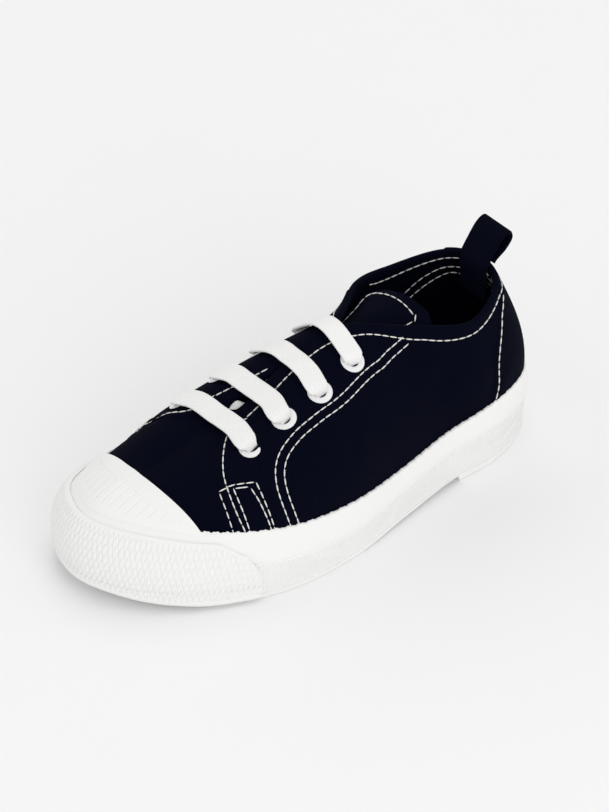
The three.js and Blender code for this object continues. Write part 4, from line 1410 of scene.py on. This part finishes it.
def make_toe_cap(sizes):
    """The toe cap from the foxing's top edge up to its own rear edge, with a grooved field."""
    w = np.linspace(-CAP["medial"], CAP["lateral"], 400)
    points, lengths = sections(w)
    shares = lengths / lengths[:, -1:]
    start = share_at_height(w, (column(SOLE, "foxing_top", w) - 0.9)[:, None])[:, 0]
    behind_edge = points[..., 1] - cap_edge_y(points[..., 0])
    stop = np.empty(len(w))
    for k in range(len(w)):
        past = np.nonzero(behind_edge[k] > 0)[0]
        first = past[0] if len(past) else len(shares[k]) - 1
        before = max(first - 1, 0)
        span = behind_edge[k, first] - behind_edge[k, before]
        part = np.clip(-behind_edge[k, before] / max(span, 1e-9), 0, 1)
        stop[k] = shares[k, before] + (shares[k, first] - shares[k, before]) * part
    stop = np.maximum(stop, start + 0.012)
    up = np.linspace(0, 1, 120)
    f = start[:, None] + (stop - start)[:, None] * up[None, :]
    front_off = CAP["gap"] + CAP["thickness"] - 0.5 * smoothstep(up, 0.985, 1.0) * np.ones_like(f)
    front = proud(w, f, front_off)
    back = proud(w, f[:, ::-1][:, ::17], np.full((len(w), len(f[0, ::17])), CAP["gap"]))
    top = rounded(front[:, -1], back[:, 0], front[:, -1] - front[:, -2], 3)
    rings = np.concatenate([front, top, back], 1)
    x, y = front[..., 0], front[..., 1]
    to_field = cap_edge_y(x) - y - smooth_band(x)
    above_foot = (f - start[:, None]) * girth(w)[:, None]
    field = smoothstep(to_field, 0.0, 0.7) * smoothstep(above_foot, 2.3, 3.1)
    line = 0.28 * np.exp(-((to_field / 0.3) ** 2))
    line -= 0.14 * np.exp(-(((x - CAP["cusp"] - 0.5) / 0.35) ** 2)) * smoothstep(-to_field, 0.0, 0.5)
    rings[:, : front.shape[1]] -= last_normal(w, f) * line[..., None]
    marks = rib_marks(rings, x + 100.0, y * 0, field)
    piece = loft("toe_cap_rubber", rings, measured(rings), False, marks, 50.0)
    return mould(piece, "cap", sizes.cap_pitch, sizes.cap_depth, slant=0.0, groove=0.3, crossed=0.0)


class SNEAKER_OT_toe_cap(bpy.types.Operator):
    """Build the grooved toe cap"""
    bl_idname = "sneaker.toe_cap"
    bl_label = "Toe cap"

    def execute(self, context):
        settle(make_toe_cap(context.scene.sneaker_rubber), "cap_rubber", "toe_cap")
        return {"FINISHED"}


def across_sole(t, distance, z, shares):
    """Points across the sole at stations t: from medial to lateral, set out from the feather line."""
    ends = []
    for w in (LAP - t, t):
        ends.append(feather_xy(w) + outward_xy(w) * np.reshape(distance, (-1, 1)))
    xy = ends[0][:, None, :] + (ends[1] - ends[0])[:, None, :] * shares[None, :, None]
    height = np.broadcast_to(np.reshape(z, (len(t), -1)), xy.shape[:2])
    return np.concatenate([xy, height[..., None]], -1)


def make_outsole(sizes):
    """The outsole with its heel step and a crossed tread on forefoot and heel."""
    near_breast = HEEL_BREAST + np.linspace(-0.04, 0.04, 7)
    spread = np.linspace(0, END, 300)
    t = np.unique(np.concatenate([spread[np.abs(spread - HEEL_BREAST) > 0.05], near_breast]))
    step = smoothstep(t, HEEL_BREAST - 0.012, HEEL_BREAST + 0.012)
    floor = np.maximum(column(SOLE, "tread", t), 0) * (1 - step)
    lip = np.maximum(column(SOLE, "edge", t), 2) - 0.25
    block = column(SOLE, "feather", t) - 0.6
    off = foxing_proud(t, np.zeros((len(t), 1)))[:, 0] + 0.1
    shares = np.linspace(0, 1, 84)
    bottom = across_sole(t, off - 0.5, floor, shares)
    side = across_sole(t, off - 0.15, floor + 0.25, np.array([0.0, 1.0]))
    edge = across_sole(t, off, floor + 0.7, np.array([0.0, 1.0]))
    rim = across_sole(t, off, np.maximum(lip, floor + 0.9), np.array([0.0, 1.0]))
    inner = across_sole(t, np.full(len(t), -0.3), np.maximum(lip, floor + 0.9), np.array([0.0, 1.0]))
    top = across_sole(t, np.full(len(t), -0.3), block, np.array([0.0, 1.0]))
    right = [level[:, 1:] for level in (side, edge, rim, inner, top)]
    left = [level[:, :1] for level in (top, inner, rim, edge, side)]
    rings = np.concatenate([bottom, *right, *left], 1)
    across = np.linalg.norm(bottom - bottom[:, :1], axis=-1)
    to_side = np.minimum(across, across[:, -1:] - across)
    y = bottom[..., 1]
    breast_y = float(feather_xy(np.array([HEEL_BREAST]))[0, 1])
    ends = np.minimum(y - y.min(), y.max() - y)
    field = smoothstep(to_side, 4.0, 4.8) * smoothstep(ends, 4.0, 5.0)
    field = field * smoothstep(np.abs(y - breast_y), 4.0, 5.0)
    waist = smoothstep(y, -2.0, 0.0) * (1 - smoothstep(y, breast_y - 5.0, breast_y - 3.0))
    field = field * (1 - waist)
    marks = rib_marks(rings, y + 200.0, bottom[..., 0] + 100.0, field)
    piece = loft("outsole_rubber", rings, measured(rings), False, marks, 35.0)
    return mould(piece, "outsole", sizes.tread_pitch, sizes.tread_depth, slant=0.8, groove=0.35, crossed=1.0)


class SNEAKER_OT_outsole(bpy.types.Operator):
    """Build the outsole and its tread"""
    bl_idname = "sneaker.outsole"
    bl_label = "Outsole"

    def execute(self, context):
        settle(make_outsole(context.scene.sneaker_rubber), "outsole_rubber", "outsole")
        return {"FINISHED"}


# ---------------------------------------------------------------- inside, tongue, loop
def make_insole():
    """The insole: cloth over foam, a little dished and soft at its edge."""
    t = np.linspace(0, END, 200)
    low = column(SOLE, "feather", t)
    shares = np.linspace(0, 1, 44)
    from_edge = np.minimum(shares, 1 - shares)[None, :]
    ends = np.minimum(t, END - t)[:, None]
    soft = smoothstep(from_edge, 0, 0.07) * smoothstep(ends, 0, 0.5)
    dish = 0.8 * (1 - (2 * shares[None, :] - 1) ** 2)
    top = across_sole(t, np.full(len(t), -2.2), 0 * t, shares)
    top[..., 2] = low[:, None] + 1.4 + soft * 1.2 - dish * smoothstep(ends, 0, 1)
    bottom = across_sole(t, np.full(len(t), -2.2), low, shares[::-1][::6])
    rings = np.concatenate([top, bottom], 1)
    return loft("insole_cloth", rings, measured(rings))


class SNEAKER_OT_insole(bpy.types.Operator):
    """Build the insole"""
    bl_idname = "sneaker.insole"
    bl_label = "Insole"

    def execute(self, context):
        settle(dress(make_insole(), lining()), "insole_fabric", "insole")
        return {"FINISHED"}


def tongue_at(place, side):
    """The tongue's face at a place along it and a share across it, -1 medial to 1 lateral."""
    place, side = np.broadcast_arrays(place, side)
    x, y, z, half, fall, tilt, skew = (through_open(TONGUE_LINE[n], place) for n in TONGUE_COLUMNS)
    return np.stack([x + side * half, y + skew * side, z + tilt * side - fall * side**2], -1)


def make_tongue():
    """The tongue: a padded sheet under the throat, arched across, with a soft round edge."""
    places = np.linspace(0, len(TONGUE_LINE["y"]) - 1, 190)
    shares = np.linspace(-1, 1, 61)
    face = tongue_at(places[:, None], shares[None, :])
    slope_side = unit(np.gradient(face, axis=1))
    slope_along = unit(np.gradient(face, axis=0))
    normal = unit(np.cross(slope_side, slope_along))
    half = through_open(TONGUE_LINE["half_width"], places)[:, None]
    to_side = (1 - np.abs(shares))[None, :] * half
    to_end = face[-1:, :, 1].max() - face[..., 1]
    from_edge = np.minimum(to_side, np.maximum(to_end, 0))
    soft = np.sqrt(np.clip(1 - np.clip(1 - from_edge / 1.2, 0, 1) ** 2, 0, 1))
    seam = 0.16 * np.exp(-(((from_edge - 3.4) / 0.7) ** 2))
    half_thick = TONGUE_THICKNESS / 2
    middle = face - normal * half_thick
    front = middle + normal * (half_thick * soft - seam)[..., None]
    back = middle - normal * (half_thick * soft)[..., None]
    rings = np.concatenate([front, back[:, ::-1][:, 1:-1]], 1)
    return loft("tongue_canvas", rings, measured(rings), False, None, 60.0)


def tongue_seam(piece):
    """The seam inside the tongue's edge, up the medial side, round the end and down again."""
    inset = 3.3
    places = np.linspace(4.6, 6.6, 24)
    half = through_open(TONGUE_LINE["half_width"], places)
    share = 1 - inset / half
    across = np.linspace(-0.9, 0.9, 24)
    end_place = 7.15 + 0.22 * (1 - across**2)
    end_half = through_open(TONGUE_LINE["half_width"], end_place)
    medial = tongue_at(places, -share)
    over = tongue_at(end_place, across * (1 - inset / end_half))
    lateral = tongue_at(places[::-1], share[::-1])
    line = np.concatenate([medial, over, lateral])
    normals = np.broadcast_to(np.array([0.0, -0.1, 0.995]), line.shape)
    return onto(piece, resample(line, normals, 0.5), 0.08)


class SNEAKER_OT_tongue(bpy.types.Operator):
    """Build the tongue and its seam"""
    bl_idname = "sneaker.tongue"
    bl_label = "Tongue"

    def execute(self, context):
        piece = settle(dress(make_tongue(), canvas()), "canvas", "tongue")
        stitches = context.scene.sneaker_stitches
        sew("tongue_stitches", [tongue_seam(piece)], "canvas", stitches, thread())
        return {"FINISHED"}


def loop_line(count):
    """The pull loop's course, in the middle plane of the heel."""
    places = np.linspace(0, len(LOOP_LINE["y"]) - 1, count)
    y, z = (through_open(LOOP_LINE[name], places) for name in ("y", "z"))
    return np.stack([np.full(count, LAST["ridge"][-1]), y, z], -1)


def plain_size(width, thickness):
    """The size of a tape that is the same all along, as a function of the place along it."""
    def size_at(u):
        return np.full_like(u, width), np.full_like(u, thickness)
    return size_at


def make_pull_loop(sizes):
    """The heel's tape loop, a fine twill tape stood over the collar."""
    outline = tape_outline(24, 0.06, 2, 0.1)
    size_at = plain_size(sizes.loop_width / MM, sizes.loop_thickness / MM)
    rings = sweep(loop_line(60), np.array([1.0, 0.0, 0.0]), outline, size_at, 170)
    return loft("pull_loop_tape", rings, measured(rings), False, None, 60.0)


class SNEAKER_OT_pull_loop(bpy.types.Operator):
    """Build the heel pull loop"""
    bl_idname = "sneaker.pull_loop"
    bl_label = "Pull loop"

    def execute(self, context):
        colours = context.scene.sneaker_colours
        tape = cloth_material("loop_twill", colours.canvas, 1500.0, 0.00016, 0.88, 0.4)
        settle(dress(make_pull_loop(context.scene.sneaker_lace), tape), "loop_tape", "pull_loop")
        return {"FINISHED"}


# ---------------------------------------------------------------- eyelets and lace
def make_eyelet(name, centre, normal, sizes):
    """A painted eyelet: a rolled flange round a short barrel, turned about its axis."""
    lift = 0.75
    flange, bore = sizes.flange / MM, sizes.bore / MM
    barrel, roll, tail = bore + 0.45, 0.55, 2.2
    centre_radius = (flange + bore) / 2
    half = (flange - bore) / 2
    profile = [(barrel, -tail), (barrel, lift - 0.3), (flange - 0.25, lift - 0.3)]
    angles = np.linspace(-0.15 * np.pi, np.pi, 14)
    profile += [(centre_radius + half * np.cos(a), lift + roll * max(np.sin(a), -0.4)) for a in angles]
    profile += [(bore, -tail)]
    profile = np.array(profile)
    turns = np.linspace(0, 2 * np.pi, 48, endpoint=False)
    matrix = np.array(Vector(normal).to_track_quat("Z", "Y").to_matrix())
    local = np.stack([
        profile[None, :, 0] * np.cos(turns)[:, None],
        profile[None, :, 0] * np.sin(turns)[:, None],
        np.broadcast_to(profile[None, :, 1], (len(turns), len(profile))),
    ], -1)
    rings = local @ matrix.T + centre
    return loft(f"eyelet_{name}_enamel", rings, measured(rings, True), True, None, 50.0)


class SNEAKER_OT_eyelets(bpy.types.Operator):
    """Build the eight painted eyelets"""
    bl_idname = "sneaker.eyelets"
    bl_label = "Eyelets"

    def execute(self, context):
        colours = context.scene.sneaker_colours
        paint = rubber_material("eyelet_paint", colours.enamel, 0.3, 0.02, 0.00002)
        for name, centre, normal in eyelet_places():
            piece = dress(make_eyelet(name, centre, normal, context.scene.sneaker_lace), paint)
            settle(piece, "eyelet_enamel", f"eyelet_{name}")
        return {"FINISHED"}


def throat_heights():
    """A lookup for the height of the last above a place near the throat."""
    w = np.concatenate([np.linspace(3.2, 6.6, 120), LAP - np.linspace(3.2, 6.6, 120)])
    f = np.linspace(0.55, 1.0, 60)
    points = last_point(w, f).reshape(-1, 3)
    tree = KDTree(len(points))
    for number, (x, y, _) in enumerate(points):
        tree.insert((x, y, 0.0), number)
    tree.balance()

    def height_at(x, y):
        return points[tree.find((x, y, 0.0))[1], 2]

    return height_at


def bar_path(first, second, height_at, thickness):
    """Up through one eyelet, across the throat clear of the canvas, and down the other."""
    (start, start_normal), (end, end_normal) = first, second
    way = unit(end - start)
    clear = 1.45 + thickness / 2

    def climb(centre, normal, towards):
        inward = unit(towards - normal * (towards @ normal))
        turns = [(-3.0, -0.5), (-0.9, -0.6), (0.8, -0.4), (clear, 0.6), (clear + 0.5, 2.8)]
        return [centre + normal * up + inward * over for up, over in turns]

    arch = []
    for u in (0.2, 0.35, 0.5, 0.65, 0.8):
        point = start + (end - start) * u
        point[2] = height_at(point[0], point[1]) + clear + 0.3 + 0.8 * math.sin(math.pi * u)
        arch.append(point)
    rise, fall = climb(start, start_normal, way), climb(end, end_normal, -way)
    above = unit(start_normal + end_normal)
    return np.array(rise + arch + fall[::-1]), unit(np.cross(above, way))


def lace_size(sizes):
    """The flat lace's width and thickness along a bar: it bunches up in its two eyelets."""
    width, thickness = sizes.width / MM, sizes.thickness / MM
    bunched, gathered = 4.4, 2.8

    def size_at(u):
        from_end = np.minimum(u, 1 - u)
        spread = smoothstep(from_end, 0.08, 0.13)
        return bunched + (width - bunched) * spread, gathered + (thickness - gathered) * spread

    return size_at


class SNEAKER_OT_lace(bpy.types.Operator):
    """Run the flat lace through the eyelets in four bars, with its runs behind the canvas"""
    bl_idname = "sneaker.lace"
    bl_label = "Lace"

    def execute(self, context):
        sizes = context.scene.sneaker_lace
        colours = context.scene.sneaker_colours
        cotton = cloth_material("lace_cotton", colours.lace, 1500.0, 0.00025, 0.85, 0.12, 0.2)
        places = {name: (centre, normal) for name, centre, normal in eyelet_places()}
        height_at = throat_heights()
        outline = tape_outline(sizes.ribs, 0.42)
        parts = []
        for label in ("first", "second", "third", "fourth"):
            ends = places[f"lateral_{label}"], places[f"medial_{label}"]
            path, across = bar_path(*ends, height_at, sizes.thickness / MM)
            parts.append(sweep(path, across, outline, lace_size(sizes), 110))
        for row in range(3):
            parts.append(hidden_run(row, outline, height_at))
        pieces = [loft("lace_part", rings, measured(rings), False, None, 60.0) for rings in parts]
        piece = join(pieces, "lace_cotton_flat")
        settle(dress(piece, cotton), "lace_cotton", "lace")
        return {"FINISHED"}


def hidden_run(row, outline, height_at):
    """The lace under the throat, from a medial eyelet slantwise up to the next lateral one."""
    w = np.array([LAP - EYELETS["station"][row], EYELETS["station"][row + 1]])
    inset = np.array([EYELETS["medial_inset"][row], EYELETS["lateral_inset"][row + 1]])
    f = 1 - inset / girth(w)
    ends = proud(w, f[:, None], np.full((2, 1), -2.65))[:, 0]
    u = np.linspace(-0.04, 1.04, 17)
    line = ends[0] + (ends[1] - ends[0]) * u[:, None]
    for k in range(1, 16):
        risen = 2.7 * math.exp(-(((line[k, 0] + 3.3) / 3.5) ** 2)) if row == 0 else 0.0
        line[k, 2] = height_at(line[k, 0], line[k, 1]) - 2.9 + risen
    across = unit(np.cross(np.array([0.0, -0.4, 0.9]), ends[1] - ends[0]))
    return sweep(line, across, outline, plain_size(7.8, 1.2), 60)


def join(pieces, name):
    """Several pieces as one object, in place of them."""
    build = bmesh.new()
    for piece in pieces:
        build.from_mesh(piece.data)
        mesh = piece.data
        bpy.data.objects.remove(piece)
        bpy.data.meshes.remove(mesh)
    joined = bpy.data.meshes.new(name)
    build.to_mesh(joined)
    build.free()
    piece = bpy.data.objects.new(name, joined)
    bpy.context.scene.collection.objects.link(piece)
    return piece


# ---------------------------------------------------------------- stage
def area_light(name, place, target, size, power):
    """A round soft light that looks at a target."""
    lamp = bpy.data.lights.new(name, "AREA")
    lamp.shape = "DISK"
    lamp.size = size
    lamp.energy = power
    light = bpy.data.objects.new(name, lamp)
    light.location = place
    light.rotation_mode = "QUATERNION"
    light.rotation_quaternion = (Vector(target) - Vector(place)).to_track_quat("-Z", "Y")
    bpy.context.scene.collection.objects.link(light)


class SNEAKER_OT_stage(bpy.types.Operator):
    """Set the pale floor, the soft studio light and the camera"""
    bl_idname = "sneaker.stage"
    bl_label = "Stage"

    def execute(self, context):
        low, high = CAD_BOX
        middle = (low + high) / 2
        bpy.ops.mesh.primitive_plane_add(size=6.0, location=(middle.x, middle.y, low.z))
        floor = context.object
        floor.name = "floor"
        dress(floor, rubber_material("floor_paper", context.scene.sneaker_colours.floor, 0.9, 0.004))
        floor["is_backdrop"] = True
        world = bpy.data.worlds.new("studio")
        world.use_nodes = True
        background = world.node_tree.nodes["Background"].inputs
        background["Color"].default_value = (1.0, 1.0, 1.0, 1.0)
        background["Strength"].default_value = 0.85
        context.scene.world = world
        context.scene.view_settings.view_transform = "Standard"
        area_light("key", (-0.75, 0.35, 1.35), middle, 0.9, 1.5)
        area_light("fill", (1.4, -0.32, 0.71), middle, 1.2, 5.2)
        self.camera(context, middle)
        return {"FINISHED"}

    def camera(self, context, middle):
        """The camera looks at the middle of the shoe."""
        stage = context.scene.sneaker_stage
        azimuth, elevation = math.radians(stage.azimuth), math.radians(stage.elevation)
        level = math.cos(elevation)
        back = Vector((math.sin(azimuth) * level, -math.cos(azimuth) * level, math.sin(elevation)))
        lens = bpy.data.cameras.new("camera")
        lens.lens = stage.lens
        lens.sensor_width = 36.0
        camera = bpy.data.objects.new("camera", lens)
        camera.location = middle + back * stage.distance
        camera.rotation_mode = "QUATERNION"
        camera.rotation_quaternion = (-back).to_track_quat("-Z", "Y")
        context.scene.collection.objects.link(camera)
        context.scene.camera = camera


OPERATORS = (
    SNEAKER_OT_stage, SNEAKER_OT_outsole, SNEAKER_OT_foxing, SNEAKER_OT_bumper, SNEAKER_OT_toe_cap,
    SNEAKER_OT_insole, SNEAKER_OT_upper, SNEAKER_OT_seams, SNEAKER_OT_tongue, SNEAKER_OT_pull_loop,
    SNEAKER_OT_eyelets, SNEAKER_OT_lace,
)


class SNEAKER_PT_build(bpy.types.Panel):
    """The sneaker's pieces in building order"""
    bl_label = "Canvas Sneaker"
    bl_idname = "SNEAKER_PT_build"
    bl_space_type = "VIEW_3D"
    bl_region_type = "UI"
    bl_category = "Sneaker"

    def draw(self, context):
        for operator in OPERATORS:
            self.layout.operator(operator.bl_idname)


CLASSES = (*GROUPS.values(), *OPERATORS, SNEAKER_PT_build)


def register():
    """Registers the classes and hangs the settings on the scene."""
    for cls in CLASSES:
        bpy.utils.register_class(cls)
    for name, group in GROUPS.items():
        setattr(bpy.types.Scene, name, PointerProperty(type=group))


def unregister():
    """Takes the settings and the classes away again."""
    for name in GROUPS:
        delattr(bpy.types.Scene, name)
    for cls in reversed(CLASSES):
        bpy.utils.unregister_class(cls)


def main():
    """Builds the sneaker and its stage."""
    register()
    for operator in OPERATORS:
        group, name = operator.bl_idname.split(".")
        getattr(getattr(bpy.ops, group), name)()
    boxes = {"cad": CAD_BOX, "visual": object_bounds()}
    {name: [list(corner) for corner in box] for name, box in boxes.items()}


if __name__ == "__main__":
    main()
